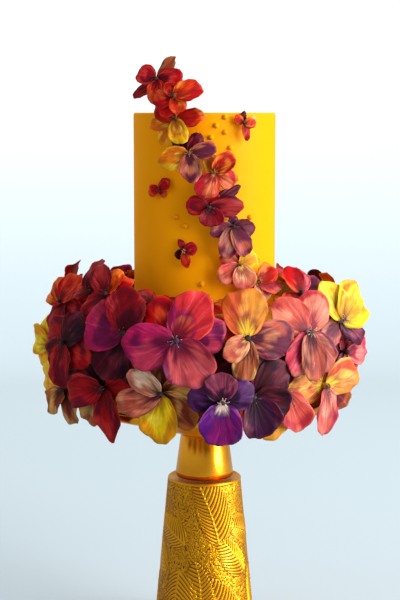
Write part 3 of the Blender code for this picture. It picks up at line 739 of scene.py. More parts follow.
class EffectLibrary:
    """The node groups that several finishes share, each built once."""

    def __init__(self) -> None:
        """Build every group."""
        self.sugar = self._sugar_group()
        self.veins = self._vein_group()
        self.lustre = self._lustre_group()

    @staticmethod
    def _new(name: str, inputs: Sequence[tuple[str, str, float]], outputs: Sequence[tuple[str, str]]
             ) -> tuple[bpy.types.NodeTree, NodeTree, bpy.types.Node, bpy.types.Node]:
        """Start a group with its sockets and return it with its helper and its two end nodes."""
        group = bpy.data.node_groups.new(name, "ShaderNodeTree")
        for label, kind, default in inputs:
            socket = group.interface.new_socket(label, in_out="INPUT", socket_type=kind)
            if kind == "NodeSocketFloat":
                socket.default_value = default
        for label, kind in outputs:
            group.interface.new_socket(label, in_out="OUTPUT", socket_type=kind)
        nodes = NodeTree(group)
        return group, nodes, nodes.add("NodeGroupInput"), nodes.add("NodeGroupOutput")

    def _sugar_group(self) -> bpy.types.NodeTree:
        """Sugar paste: soft mottling, fine grain, and their height."""
        group, nodes, start, end = self._new(
            "sugar_paste", [("Mottle Scale", "NodeSocketFloat", 45.0), ("Grain Scale", "NodeSocketFloat", 1400.0)],
            [("Mottle", "NodeSocketFloat"), ("Grain", "NodeSocketFloat"), ("Height", "NodeSocketFloat")])
        place = nodes.add("ShaderNodeTexCoord").outputs["Object"]
        mottle = nodes.noise(place, start.outputs[0], 3.0)
        grain = nodes.noise(place, start.outputs[1], 2.0, 0.55)
        nodes.link(nodes.ramp(mottle, 0.3, 0.7), end.inputs["Mottle"])
        nodes.link(nodes.ramp(grain, 0.3, 0.7), end.inputs["Grain"])
        nodes.link(nodes.weighted(mottle, 0.6, grain, 0.4), end.inputs["Height"])
        return group

    def _vein_group(self) -> bpy.types.NodeTree:
        """Veins that fan out from a petal's throat, from its across, along and seed values."""
        group, nodes, start, end = self._new(
            "petal_veins", [("Place", "NodeSocketVector", 0.0), ("Density", "NodeSocketFloat", 9.0)],
            [("Vein", "NodeSocketFloat"), ("Brush", "NodeSocketFloat"), ("Crest", "NodeSocketFloat"),
             ("Height", "NodeSocketFloat")])
        parts = nodes.add("ShaderNodeSeparateXYZ", {0: start.outputs[0]})
        across, along, seed = parts.outputs
        wander = nodes.noise(start.outputs[0], 2.4, 1.0, 0.5)
        bent = nodes.math("ADD", across, nodes.math("MULTIPLY", wander, 0.16))
        offset = nodes.math("MULTIPLY", seed, 7.3)

        def streaks(density: object, stretch: float, detail: float) -> bpy.types.NodeSocket:
            """Noise that is stretched along the petal."""
            vector = nodes.add("ShaderNodeCombineXYZ", {
                0: nodes.math("MULTIPLY", bent, density), 1: nodes.math("MULTIPLY", along, stretch), 2: offset})
            return nodes.noise(vector.outputs[0], 1.0, detail, 0.65)

        fine = streaks(start.outputs[1], 1.1, 3.0)
        broad = streaks(3.2, 1.6, 2.0)
        fade = nodes.ramp(along, 0.15, 1.0, 1.0, 0.25)
        nodes.link(nodes.math("MULTIPLY", nodes.ramp(fine, 0.50, 0.66), fade), end.inputs["Vein"])
        nodes.link(nodes.ramp(broad, 0.35, 0.68), end.inputs["Brush"])
        # painted highlight: the raised lines in the petal's middle get lighter
        middle = nodes.ramp(along, 0.2, 0.6)
        nodes.link(nodes.math("MULTIPLY", nodes.ramp(fine, 0.46, 0.32), middle), end.inputs["Crest"])
        nodes.link(nodes.math("SUBTRACT", 1.0, fine), end.inputs["Height"])
        return group

    def _lustre_group(self) -> bpy.types.NodeTree:
        """Gold lustre: cloudy wear, fine brush marks and their height."""
        group, nodes, start, end = self._new(
            "gold_lustre", [("Cloud Scale", "NodeSocketFloat", 28.0), ("Brush Scale", "NodeSocketFloat", 260.0)],
            [("Cloud", "NodeSocketFloat"), ("Brush", "NodeSocketFloat"), ("Height", "NodeSocketFloat")])
        place = nodes.add("ShaderNodeTexCoord").outputs["Object"]
        cloud = nodes.noise(place, start.outputs[0], 4.0)
        stretch = nodes.add("ShaderNodeMapping", {"Vector": place, "Scale": (1, 1, 7)}).outputs[0]
        brush = nodes.noise(stretch, start.outputs[1], 2.0)
        nodes.link(nodes.ramp(cloud, 0.3, 0.7), end.inputs["Cloud"])
        nodes.link(nodes.ramp(brush, 0.3, 0.7), end.inputs["Brush"])
        nodes.link(nodes.weighted(cloud, 0.5, brush, 0.5), end.inputs["Height"])
        return group


def start_material(name: str) -> tuple[bpy.types.Material, NodeTree, bpy.types.Node]:
    """Make a material and return it with its helper and its Principled shader."""
    made = bpy.data.materials.new(name)
    made.use_nodes = True
    return made, NodeTree(made.node_tree), made.node_tree.nodes["Principled BSDF"]


@dataclass(frozen=True)
class PetalFinish:
    """Satin sugar paste, painted by the petal's colours, which carry painted sheen and shade, with its raised lines
    lightened as painted highlight.
    """
    slot: str
    roughness: float = 0.46
    brush_share: float = 0.42             # broad strokes of the vein colour
    vein_share: float = 0.72
    crest_light_share: float = 0.6
    crest_light_gamma: float = 0.72             # lightens the raised lines: painted highlight, partly lighter dust
    density: float = 12.0                 # veins across a petal
    mottle_scale: float = 70.0
    bump: float = 0.5
    depth: float = 0.0012                 # of the veins in metres
    specular: float = 0.10

    def make(self, effects: EffectLibrary) -> bpy.types.Material:
        """Build the material.

        Args:
            effects: the shared node groups.

        Returns:
            The material.
        """
        made, nodes, shader = start_material(self.slot)
        paint, vein = nodes.attribute("paint"), nodes.attribute("vein")
        place = nodes.attribute("place", "Vector")
        veins = nodes.effect(effects.veins, {"Place": place, "Density": self.density})
        sugar = nodes.effect(effects.sugar, {"Mottle Scale": self.mottle_scale})
        brushed = nodes.mix(nodes.math("MULTIPLY", veins.outputs["Brush"], self.brush_share), paint, vein)
        # painted highlight, partly lighter dust: the raised lines are lightened
        crest_light = nodes.add("ShaderNodeGamma", {0: paint, 1: self.crest_light_gamma}).outputs[0]
        brushed = nodes.mix(nodes.math("MULTIPLY", veins.outputs["Crest"], self.crest_light_share), brushed, crest_light)
        colour = nodes.mix(nodes.math("MULTIPLY", veins.outputs["Vein"], self.vein_share), brushed, vein)
        shade = nodes.ramp(sugar.outputs["Mottle"], 0.0, 1.0, 0.86, 1.08)
        nodes.link(nodes.shaded(colour, shade), shader.inputs["Base Color"])
        nodes.link(nodes.ramp(sugar.outputs["Grain"], 0.0, 1.0, self.roughness - 0.06, self.roughness + 0.10),
                   shader.inputs["Roughness"])
        nodes.bump(shader, self.bump, self.depth,
                   nodes.weighted(veins.outputs["Height"], 0.8, sugar.outputs["Height"], 0.2))
        shader.inputs["Specular IOR Level"].default_value = self.specular
        return made


@dataclass(frozen=True)
class HeartFinish:
    """The painted button, stamens and stem of a flower."""
    name: str = "flower_heart"
    roughness: float = 0.55

    def make(self, effects: EffectLibrary) -> bpy.types.Material:
        """Build the material.

        Args:
            effects: the shared node groups.

        Returns:
            The material.
        """
        made, nodes, shader = start_material(self.name)
        sugar = nodes.effect(effects.sugar, {"Grain Scale": 2600.0})
        shade = nodes.ramp(sugar.outputs["Grain"], 0.0, 1.0, 0.75, 1.1)
        nodes.link(nodes.shaded(nodes.attribute("paint"), shade), shader.inputs["Base Color"])
        nodes.bump(shader, 0.5, 0.0004, sugar.outputs["Grain"])
        shader.inputs["Roughness"].default_value = self.roughness
        return made


@dataclass(frozen=True)
class FondantFinish:
    """Matt rolled fondant with a faint bloom."""
    name: str
    colour: Colour
    deep: Colour
    roughness: float = 0.52
    bump: float = 0.25
    specular: float = 0.03

    def make(self, effects: EffectLibrary) -> bpy.types.Material:
        """Build the material.

        Args:
            effects: the shared node groups.

        Returns:
            The material.
        """
        made, nodes, shader = start_material(self.name)
        sugar = nodes.effect(effects.sugar, {"Mottle Scale": 16.0, "Grain Scale": 900.0})
        mask = nodes.weighted(sugar.outputs["Mottle"], 0.6, sugar.outputs["Grain"], 0.25)
        nodes.link(nodes.mix(mask, self.colour, self.deep), shader.inputs["Base Color"])
        nodes.link(nodes.ramp(sugar.outputs["Mottle"], 0.0, 1.0, self.roughness - 0.05, self.roughness + 0.08),
                   shader.inputs["Roughness"])
        nodes.bump(shader, self.bump, 0.0006, sugar.outputs["Height"])
        shader.inputs["Specular IOR Level"].default_value = self.specular
        return made


@dataclass(frozen=True)
class GoldFinish:
    """Gold lustre on metal with cloudy wear, and painted shade in the low lines between embossed leaves where the mesh
    carries them.
    """
    name: str
    colour: Colour
    # the second colour: cloudy wear, and on the embossing painted shade in its grooves
    wear_and_groove_shade: Colour
    roughness: float
    hollow_roughness: float = 0.45
    embossed: bool = False
    coat: float = 0.25
    coat_roughness: float = 0.2

    def make(self, effects: EffectLibrary) -> bpy.types.Material:
        """Build the material.

        Args:
            effects: the shared node groups.

        Returns:
            The material.
        """
        made, nodes, shader = start_material(self.name)
        lustre = nodes.effect(effects.lustre)
        height = nodes.math("MULTIPLY", lustre.outputs["Height"], 0.25)
        proud = nodes.ramp(lustre.outputs["Cloud"], 0.0, 1.0, 0.8, 1.0)
        # painted shade: where the embossing is low, between leaflets and in the scroll lines, the gold turns to its
        # dark second colour
        if self.embossed:
            leaves = nodes.attribute("place", "Vector")
            count, share, rib = nodes.add("ShaderNodeSeparateXYZ", {0: leaves}).outputs
            wave = nodes.math("COSINE", nodes.math("MULTIPLY", count, 2 * math.pi))
            raised = nodes.math("MULTIPLY", nodes.ramp(wave, 1.0, 0.3), share)
            raised = nodes.math("MAXIMUM", raised, rib)
            height = nodes.math("ADD", height, raised)
            proud = nodes.math("MULTIPLY", proud, nodes.ramp(raised, 0.0, 0.6))
        nodes.link(nodes.mix(proud, self.wear_and_groove_shade, self.colour), shader.inputs["Base Color"])
        rough = nodes.math("ADD", nodes.ramp(proud, 0.0, 1.0, self.hollow_roughness, self.roughness),
                           nodes.math("MULTIPLY", lustre.outputs["Brush"], 0.05))
        nodes.link(rough, shader.inputs["Roughness"])
        nodes.bump(shader, 0.4, 0.0006, height)
        shader.inputs["Metallic"].default_value = 1.0
        shader.inputs["Coat Weight"].default_value = self.coat
        shader.inputs["Coat Roughness"].default_value = self.coat_roughness
        return made


def settle(piece: bpy.types.Object, slot: str, *nodes: str) -> None:
    """Tell the frame what a piece rides on, hide the nodes that it replaces, and log it.

    Args:
        piece: the object.
        slot: the record's material slot; not used.
        nodes: the CAD nodes that it stands for.
    """
    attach(piece, "root")
    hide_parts(*nodes)
    log.info("%s: %d faces, for %s", piece.name, len(piece.data.polygons), ", ".join(nodes))


@dataclass
class SugarFlower:
    """One sugar flower: thin veined petals round a button with stamens, on its wire."""
    plan: Flower
    slot: str
    finish: bpy.types.Material
    heart_finish: bpy.types.Material
    seed: int
    fine_from: float = 30.0           # petals of this length or more get the finer grid
    shape: MeshBuilder = field(default_factory=MeshBuilder)

    @property
    def size(self) -> float:
        """Length of the longest petal in millimetres."""
        return max(petal.length for petal in self.plan.petals)

    @property
    def front(self) -> float:
        """Height of the button above the flower's plane in millimetres."""
        return self.size * CORE_FRONT + LAYER * len(self.plan.petals)

    def pose(self, radius: float) -> Matrix:
        """Matrix of the flower when its middle is at a distance from the cake's axis, in metres."""
        plan = self.plan
        facing = outward(plan.azimuth + plan.turn) * math.cos(math.radians(plan.tip))
        facing.z = math.sin(math.radians(plan.tip))
        right = Vector((0, 0, 1)).cross(facing).normalized()
        matrix = Matrix((right, facing.cross(right), facing)).transposed().to_4x4()
        matrix.translation = outward(plan.azimuth) * radius + Vector((0, 0, plan.height * MM))
        return matrix

    def find_pose(self, corners: np.ndarray) -> Matrix:
        """Find how far out the solid was set, from the corners of its button.

        Args:
            corners: corners of the CAD node.

        Returns:
            The matrix of the flower.
        """
        turns = [2 * math.pi * i / CORE_SIDES for i in range(CORE_SIDES)]
        rim = self.size * CORE_RADIUS * MM
        button = [Vector((rim * math.cos(a), rim * math.sin(a), self.front * MM)) for a in turns]
        best, found = self.pose(self.plan.radius * MM), -1
        for step in range(PUSH_STEPS):
            matrix = self.pose((self.plan.radius + step * PUSH_STEP) * MM)
            gaps = [np.linalg.norm(corners - np.array(matrix @ point), axis=1).min() for point in button]
            matches = sum(gap < MATCH * MM for gap in gaps)
            if matches > found:
                best, found = matrix, matches
        if found < 2:
            log.warning("%s: its place is a guess", self.plan.name)
        return best

    def stem_length(self, corners: np.ndarray, matrix: Matrix) -> float:
        """Length of the solid's stem behind the flower's plane, in millimetres."""
        local = np.array(matrix.inverted()) @ np.c_[corners, np.ones(len(corners))].T
        near = np.hypot(local[0], local[1]) < STEM_RADIUS * 1.1 * MM
        return max(self.size * CORE_BACK, -local[2][near].min() / MM if near.any() else 0)

    def petal_shape(self, petal: Petal, layer: int, noise: random.Random) -> None:
        """Add one petal to the mesh, in millimetres.

        Args:
            petal: the petal.
            layer: its place from the back.
            noise: source of its small differences.
        """
        columns, rows = FINE_GRID if petal.length >= self.fine_from else COARSE_GRID
        across = np.linspace(-1, 1, columns)[None, :]
        along = np.linspace(PETAL_BASE, 1, rows)[:, None]
        phases = [noise.uniform(0, 2 * math.pi) for _ in range(6)]
        turn = across * EDGE_TURN
        side = petal.width / 2 * np.sin(turn)
        tip = petal.length * (WIDEST + (1 - WIDEST) * np.cos(turn)) + petal.beyond * np.cos(turn)
        tip = tip + petal.length * petal.point * np.clip(1 - np.abs(turn), 0, None)
        reach = np.where(np.abs(turn) < math.pi / 2, tip, petal.length * WIDEST * (1 + np.cos(turn)))
        edge = 1 + OUTLINE_WAVE * waves(across, OUTLINE_WAVES, (phases[0], phases[1], phases[5])) - OUTLINE_INSET
        x = along * side * edge
        y = along * reach * edge
        far = y / petal.length
        wide = 2 * x / petal.width
        cup = CUP_BACK + (CUP_FRONT - CUP_BACK) * layer / max(1, len(self.plan.petals) - 1)
        swing = math.radians(7 * petal.clock + 13 * petal.length)
        z = LAYER * layer + math.tan(math.radians(petal.lift + LAYER_LIFT * layer)) * y
        z = z - CURL * petal.length * far ** 2 + cup * petal.width / 2 * wide ** 2
        z = z + WAVE * petal.length * far ** 2 * np.sin(2.6 * wide + swing)
        z = z + RUFFLE * petal.length * along ** RUFFLE_POWER * waves(across, RUFFLE_WAVES, phases[2:4])
        z = z + CREASE * petal.length * along * (1 - 0.5 * along) * np.sin(CREASE_COUNT * across + phases[4])
        full = (1 - smooth(THINS_ALONG, 1.0, along)) * (1 - smooth(THINS_ACROSS, 1.0, np.abs(across)))
        thick = PETAL_RIM + (PETAL_MIDDLE - PETAL_RIM) * full
        spin = math.radians(-petal.clock)
        flat = np.stack([x * math.cos(spin) - y * math.sin(spin), x * math.sin(spin) + y * math.cos(spin), z], -1)
        lift = np.zeros_like(flat)
        lift[..., 2] = thick / 2
        top, bottom = (flat + lift).reshape(-1, 3), (flat - lift).reshape(-1, 3)
        total = len(top)
        grid = grid_faces(rows, columns)
        round_edge = self.edge_loop(rows, columns)
        after = np.roll(round_edge, -1)
        wall = np.stack([round_edge + total, after + total, after, round_edge], axis=-1)
        faces = np.concatenate([grid, grid[:, ::-1] + total, wall])
        paint, vein = self.paint_petal(petal.paint.value, across, along, noise, (rows, columns))
        place = np.stack(np.broadcast_arrays(across, along, np.full((1, 1), noise.uniform(0, 50))), -1).reshape(-1, 3)
        self.shape.add(np.concatenate([top, bottom]) * MM, faces, np.tile(paint, (2, 1)), np.tile(vein, (2, 1)),
                       np.tile(place, (2, 1)))

    @staticmethod
    def edge_loop(rows: int, columns: int) -> np.ndarray:
        """Corners round a grid, anticlockwise from its first corner."""
        low = np.arange(columns - 1)
        right = np.arange(rows - 1) * columns + columns - 1
        high = (rows - 1) * columns + np.arange(columns - 1, 0, -1)
        left = np.arange(rows - 1, 0, -1) * columns
        return np.concatenate([low, right, high, left])

    @staticmethod
    def mottle(across: np.ndarray, along: np.ndarray, noise: random.Random) -> np.ndarray:
        """Soft patches over a petal, from 0 to 1.

        Args:
            across: place across it, -1 to 1.
            along: place along it, 0 to 1.
            noise: source of their places.

        Returns:
            The strength of the patches.
        """
        total = np.zeros(np.broadcast(across, along).shape)
        for wave in MOTTLE_WAVES:
            heading, phase = noise.uniform(0, 2 * math.pi), noise.uniform(0, 2 * math.pi)
            run = math.cos(heading) * across * along + MOTTLE_STRETCH * math.sin(heading) * along
            total = total + np.sin(wave * run + phase) * math.sqrt(MOTTLE_WAVES[0] / wave)
        return smooth(-MOTTLE_LIMIT, MOTTLE_LIMIT, total)

    def paint_petal(self, paint: PetalPaint, across: np.ndarray, along: np.ndarray, noise: random.Random,
                    shape: tuple[int, int]) -> tuple[np.ndarray, np.ndarray]:
        """Colours of a petal's corners.

        Args:
            paint: its paint.
            across: place across it, -1 to 1.
            along: place along it, 0 to 1.
            noise: source of its patches.
            shape: rows and columns.

        Returns:
            Paint and vein colours, n by 3.
        """
        across, along = np.broadcast_to(across, shape), np.broadcast_to(along, shape)
        body, flush, pale_tone_and_sheen, vein, rim, throat = (np.broadcast_to(np.array(c), (*shape, 3)) for c in (
            paint.body, paint.flush, paint.pale_tone_and_sheen, paint.vein, paint.rim, paint.throat))
        patches, lights = self.mottle(across, along, noise), self.mottle(across, along, noise)
        fray = waves(across, FRAY_WAVES, (5 * patches, 3 * lights, 0))
        colour = blend(body, flush, smooth(*FLUSH_SPAN, patches))
        # painted sheen, partly lighter paint: a pale tone brushed over the petal's middle
        lit = smooth(*PALE_SHEEN_SPAN, lights + fray) * smooth(*PALE_SHEEN_ALONG, along + fray)
        colour = blend(colour, pale_tone_and_sheen, PALE_SHEEN_SHARE * lit)
        # painted shade, partly deep dusting: the petal darkens to its vein colour towards the heart
        colour = blend(vein, colour, ROOT_LIGHT + (1 - ROOT_LIGHT) * smooth(*ROOT_SPAN, along + fray))
        ends, opens = (share * paint.throat_reach for share in THROAT_SPAN)
        colour = blend(throat, colour, smooth(ends, opens, along + 0.5 * fray))
        edge = np.maximum(along, np.abs(across) ** 3 * 0.98)
        # the pale rim is strongest under the painted sheen
        pale = smooth(*RIM_SPAN, edge + 0.3 * fray * lights) * (RIM_LEAST + (1 - RIM_LEAST) * lights)
        colour = blend(colour, rim, RIM_SHARE * pale)
        return colour.reshape(-1, 3), np.array(vein).reshape(-1, 3)

    def heart_shape(self, reach: float, noise: random.Random) -> None:
        """Add the button, its stamens and the wire, in millimetres.

        Args:
            reach: length of the wire behind the flower's plane.
            noise: source of small differences.
        """
        heart, size, front = self.plan.heart.value, self.size, self.front
        base = LAYER * (len(self.plan.petals) - 1)
        back, tail = size * CORE_BACK, STEM_END - reach
        # radius and height, up the wire, out to the button and over it
        profile = [(0, tail), (STEM_RADIUS * 0.75, tail), (STEM_RADIUS * 0.9, -back), (size * 0.045, 0),
                   (size * 0.058, base), (size * 0.062, base + size * 0.02), (size * 0.05, front - 1.4),
                   (size * 0.03, front - 0.6), (0, front - 0.3)]
        if reach - STEM_END <= back:
            profile = [(0, -back)] + profile[2:]
        points, faces = turned_shape(profile, 12)
        level = points[:, 2]
        tints = np.array([heart.button if z > base + size * 0.035 else heart.ring for z in level])
        tints[level < 0] = srgb(*STEM_COLOUR)
        self.shape.add(points * MM, faces, tints, np.array(heart.button), material=1)
        for number in range(heart.stamens):
            angle = 2 * math.pi * number / heart.stamens + noise.uniform(-0.3, 0.3)
            length = size * noise.uniform(0.05, 0.10)
            part = np.linspace(0, 1, 5)
            out = size * 0.035 + length * part
            rise = front - 1.2 + size * 0.05 * np.sin(part * 2.4)
            path = np.stack([out * math.cos(angle), out * math.sin(angle), rise], -1)
            thread = max(THREAD_RADIUS, size * THREAD_SHARE)
            for form, tint in ((tube_shape(path, thread), heart.thread),
                               (ball_shape(path[-1], thread * ANTHER_SHARE, 6, 3), heart.anther)):
                self.shape.add(form[0] * MM, form[1], np.array(tint), np.array(tint), material=1)

    def build(self) -> bpy.types.Object:
        """Build the flower where its solid is.

        Returns:
            The piece.
        """
        noise = random.Random(self.seed)
        corners = node_corners(self.plan.name)
        matrix = self.find_pose(corners)
        for layer, petal in enumerate(self.plan.petals):
            self.petal_shape(petal, layer, noise)
        self.heart_shape(self.stem_length(corners, matrix), noise)
        turn, shift = np.array(matrix.to_3x3()), np.array(matrix.translation)
        low, high = np.array(CAD_BOX[0]) + BOX_MARGIN, np.array(CAD_BOX[1]) - BOX_MARGIN
        self.shape.points = [np.clip(points @ turn.T + shift, low, high) for points in self.shape.points]
        piece = self.shape.build(self.plan.name + "_sugar", (self.finish, self.heart_finish))
        settle(piece, self.slot, self.plan.name)
        return piece


@dataclass
class FlowerDisplay:
    """Every flower of the ring, the crown and the cascade."""
    effects: EffectLibrary
    first_seed: int = 400

    def build(self) -> None:
        """Build them all with one petal finish for each slot."""
        slots = {row["node"]: row["material_slot"] for row in frame["record"]["subparts"]}
        finishes = {slot: PetalFinish(slot).make(self.effects) for slot in sorted(set(slots.values()))
                    if slot.startswith("petal_")}
        heart = HeartFinish().make(self.effects)
        flowers = [*LOWER_ROW, *CROWN, *UPPER_ROW, *CASCADE, *back_flowers()]
        for number, plan in enumerate(flowers):
            slot = slots[plan.name]
            SugarFlower(plan, slot, finishes[slot], heart, self.first_seed + number).build()


@dataclass
class CakeTiers:
    """Both tiers in rolled fondant, with the sugar pearls of the upper one."""
    effects: EffectLibrary
    foot: float = 0.8                 # bevel at a tier's foot in millimetres, as all lengths here
    edge: float = 2.0                 # and the rounding of its top edge
    edge_steps: int = 6
    levels: int = 24                  # rings up its side
    sides: int = 160
    pearl_radius: float = 2.83
    pearl_stands_out: float = 0.9     # a pearl's middle outside the fondant's surface
    # azimuth and depth below the cake's top
    pearls: tuple[tuple[float, float], ...] = (
        (16, 4.5), (5, 25), (16, 20), (20, 36), (26, 67), (-23, 107), (-15, 116), (38, 108), (47, 154),
        (-2, 176), (9, 13))

    def tier(self, node: str, radius: float, low: float, high: float, finish: bpy.types.Material) -> None:
        """Build one tier.

        Args:
            node: the CAD node.
            radius: its radius in metres.
            low: height of its foot in metres.
            high: height of its top in metres.
            finish: its fondant.
        """
        edge, foot = self.edge * MM, self.foot * MM
        turns = [math.pi / 2 * i / self.edge_steps for i in range(self.edge_steps + 1)]
        levels = np.linspace(low + foot, high - edge, self.levels)
        profile = [(0, low), (radius - foot, low)] + [(radius, z) for z in levels[:-1]]
        profile += [(radius - edge + edge * math.cos(a), high - edge + edge * math.sin(a)) for a in turns]
        profile += [(radius * part, high) for part in (0.75, 0.5, 0.25)] + [(0, high)]
        points, faces = turned_shape(profile, self.sides)
        shape = MeshBuilder()
        shape.add(points, faces)
        settle(shape.build(node + "_fondant", (finish,)), "fondant", node)

    def build(self) -> None:
        """Build the tiers and the pearls."""
        fondant = FondantFinish("fondant", (0.95, 0.36, 0.001), (0.93, 0.33, 0.001)).make(self.effects)
        pearl = FondantFinish("sugar_pearl", (0.92, 0.37, 0.006), (0.86, 0.30, 0.004), roughness=0.34,
                              bump=0.1).make(self.effects)
        for node in ("lower_tier", "upper_tier"):
            low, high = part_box(node)
            self.tier(node, high[1], low[2], high[2], fondant)
        low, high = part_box("upper_tier")
        shape = MeshBuilder()
        for azimuth, depth in self.pearls:
            middle = outward(azimuth) * (high[1] + self.pearl_stands_out * MM)
            middle.z = high[2] - depth * MM
            points, faces = ball_shape(np.array(middle), self.pearl_radius * MM, 20, 11)
            shape.add(points, faces)
        settle(shape.build("sugar_pearls", (pearl,)), "fondant", "upper_tier")


class Frond(NamedTuple):
    """One embossed frond on the unrolled sleeve: root, direction, bend, length and the widths of its two sides."""
    x: float
    y: float
    heading: float
    bend: float
    length: float
    left: float
    right: float


@dataclass
class GoldStand:
    """Plate, neck cone and embossed sleeve in gold lustre."""
    effects: EffectLibrary
    sides: int = 144
    sleeve_sides: int = 396
    sleeve_rows: int = 246
    relief: float = 1.2               # depth of the embossing in millimetres, as all lengths here
    repeats: int = 3                  # times that the pattern repeats round the sleeve
    leaflet: float = 4.6              # spacing of a frond's leaflets along its rib
    leaflet_sweep: float = 0.45       # how far they lean to its tip
    leaflet_curve: float = 0.55       # and how much they curve to it
    scallop: float = 0.12             # notches between their ends, of the frond's width
    rib_half: float = 1.3             # half the rib's width at the root
    rib_taper: float = 0.8            # and how much of it is gone at the tip
    border: float = 1.5               # slope at a frond's outline
    scroll: float = 3.3               # spacing of the lines in the ground of scrolls
    scroll_share: float = 0.6         # their height beside the leaflets' one
    scrolls: int = 120                # in one repeat
    scroll_columns: int = 8           # of them side by side
    scroll_ground: float = 225.0      # height of the ground that they fill
    scroll_seed: int = 5
    warp: float = 2.4                 # how far their lines wander
    fine_warp: float = 1.3            # and how far in small bends
    lip: float = 0.8                  # plain line under the shoulder and above the foot
    lip_ease: float = 0.8             # slope beside it
    lip_height: float = 0.95          # its height, of the relief
    foot_rim: float = 4.0             # height of the plain rim of the foot
    foot_step: float = 2.0            # and how far it stands out
    neck_sinks: float = 5.0           # how far the neck goes down inside the sleeve's rim
    neck_flare: float = 0.1           # and how much wider it gets there, of that depth
    # plain rings over the shoulder: how far inside it and how high over it
    rim_rings: tuple[tuple[float, float], ...] = ((0.3, 1.0), (1.2, 1.7), (2.4, 1.6), (3.2, 0.6))
    # and in the recess: how far outside the neck's seat and how high over the shoulder
    recess_rings: tuple[tuple[float, float], ...] = ((1.5, -1.2), (-3.0, -1.4))
    recess_painted_shade: float = 0.42         # painted shade in the recess: how bright the gold is there
    # from the ones underneath to the ones on top
    fronds: tuple[Frond, ...] = (
        Frond(92, 2, 65, 0.010, 60, 13, 15), Frond(18, 0, 112, -0.008, 62, 15, 14),
        Frond(54, 14, 100, 0.006, 76, 17, 26), Frond(120, 30, 74, 0.008, 74, 24, 16),
        Frond(6, 62, 62, -0.006, 58, 14, 18), Frond(78, 84, 118, 0.006, 62, 20, 13),
        Frond(100, 92, 78, -0.006, 84, 16, 26), Frond(2, 120, -32, -0.006, 56, 19, 15),
        Frond(70, 176, 66, 0.010, 46, 10, 12), Frond(124, 164, 112, -0.010, 50, 12, 10),
        Frond(43, 122, 101, 0.005, 88, 17, 32))

    def smooth_part(self, node: str, profile: Sequence[tuple[float, float]], finish: bpy.types.Material) -> None:
        """Build one plain turned part.

        Args:
            node: the CAD node.
            profile: radius and height from the bottom axis up to the top axis, in metres.
            finish: its gold.
        """
        points, faces = turned_shape(profile, self.sides)
        shape = MeshBuilder()
        shape.add(points, faces)
        settle(shape.build(node + "_gold", (finish,)), "gold", node)

    def frond_field(self, x: np.ndarray, y: np.ndarray, frond: Frond) -> tuple[np.ndarray, np.ndarray, np.ndarray]:
        """Where one frond lies over the unrolled sleeve.

        Args:
            x: place round the sleeve in millimetres from the frond's own repeat.
            y: height in millimetres.
            frond: the frond.

        Returns:
            How far inside its outline a point is in millimetres, the count of leaflets, and the height of its rib.
        """
        heading = math.radians(frond.heading)
        ahead = np.array((math.cos(heading), math.sin(heading)))
        left = np.array((-ahead[1], ahead[0]))
        across = (x - frond.x) * left[0] + (y - frond.y) * left[1]
        forward = (x - frond.x) * ahead[0] + (y - frond.y) * ahead[1]
        radius = 1 / frond.bend
        turn = np.arctan2(forward * np.sign(radius), (radius - across) * np.sign(radius))
        off = radius - np.sign(radius) * np.hypot(forward, radius - across)
        run = turn * abs(radius)
        spread = np.abs(off)
        reach = np.where(off > 0, frond.left, frond.right)
        part = np.clip((run - 0.4 * spread) / frond.length, 0, 1)
        width = reach * np.sin(np.pi * (0.10 + 0.90 * part) ** 0.7) ** 0.6 + 0.01
        spacing = self.leaflet * (0.62 + 0.02 * reach)
        count = (run - self.leaflet_sweep * spread - self.leaflet_curve * spread ** 2 / reach) / spacing
        edge = width * (1 - self.scallop + self.scallop * np.cos(2 * np.pi * count + np.pi))
        inside = np.where((part > 0) & (part < 1), edge - spread, -1)
        rib = 1 - smooth(0.4, 1.3, spread / (self.rib_half - self.rib_taper * part))
        return inside, count, rib

    def sleeve_relief(self, turn: np.ndarray, height: np.ndarray, radius: float) -> tuple[np.ndarray, np.ndarray]:
        """Height of the embossing: scrolls as a ground with fronds laid over each other.

        Args:
            turn: angle round the sleeve, 0 to 2 pi.
            height: height above the foot's rim in millimetres.
            radius: mean radius of the sleeve in millimetres.

        Returns:
            Height from 0 to 1, and for each place the count of lines, their share of the height, and the rib.
        """
        period = 2 * math.pi * radius / self.repeats
        x, y = np.broadcast_arrays((turn * radius) % period, height)
        turns = 2 * np.pi * x / period
        warp_x = (x + self.warp * np.sin(y / 3.3 + 2 * np.sin(7 * turns))
                  + self.fine_warp * np.sin(19 * turns + y / 2.1))
        warp_y = (y + self.warp * np.sin(13 * turns + 1.5 * np.sin(y / 6.5))
                  + self.fine_warp * np.sin(y / 1.9 - 11 * turns))
        nearest = np.full(x.shape, np.inf)
        count = np.zeros(x.shape)
        noise = random.Random(self.scroll_seed)
        rows = self.scrolls / self.scroll_columns
        for index in range(self.scrolls):
            row, column = divmod(index, self.scroll_columns)
            middle_x = (column + noise.uniform(0.1, 0.9)) * period / self.scroll_columns
            middle_y = (row + noise.uniform(0.1, 0.9)) * self.scroll_ground / rows
            hand, start = noise.choice((-1, 1)), noise.random()
            aside = (warp_x - middle_x + period / 2) % period - period / 2
            away = np.hypot(aside, warp_y - middle_y)
            curl = away / self.scroll + hand * np.arctan2(warp_y - middle_y, aside) / (2 * np.pi) + start
            count = np.where(away < nearest, curl, count)
            nearest = np.minimum(nearest, away)
        share = self.scroll_share * np.ones_like(count)
        rib = np.zeros_like(count)
        for frond in self.fronds:
            for shift in (-period, 0, period):
                inside, leaves, ridge = self.frond_field(x + shift, y, frond)
                over = inside > 0
                count = np.where(over, leaves, count)
                share = np.where(over, smooth(0.0, self.border, inside), np.where(inside > -1, share * 0.3, share))
                rib = np.where(over, ridge, rib)
        raised = np.maximum(share * (0.1 + 0.8 * np.sqrt(0.5 - 0.5 * np.cos(2 * np.pi * count))), rib)
        return raised, np.stack([count, share, rib], -1)

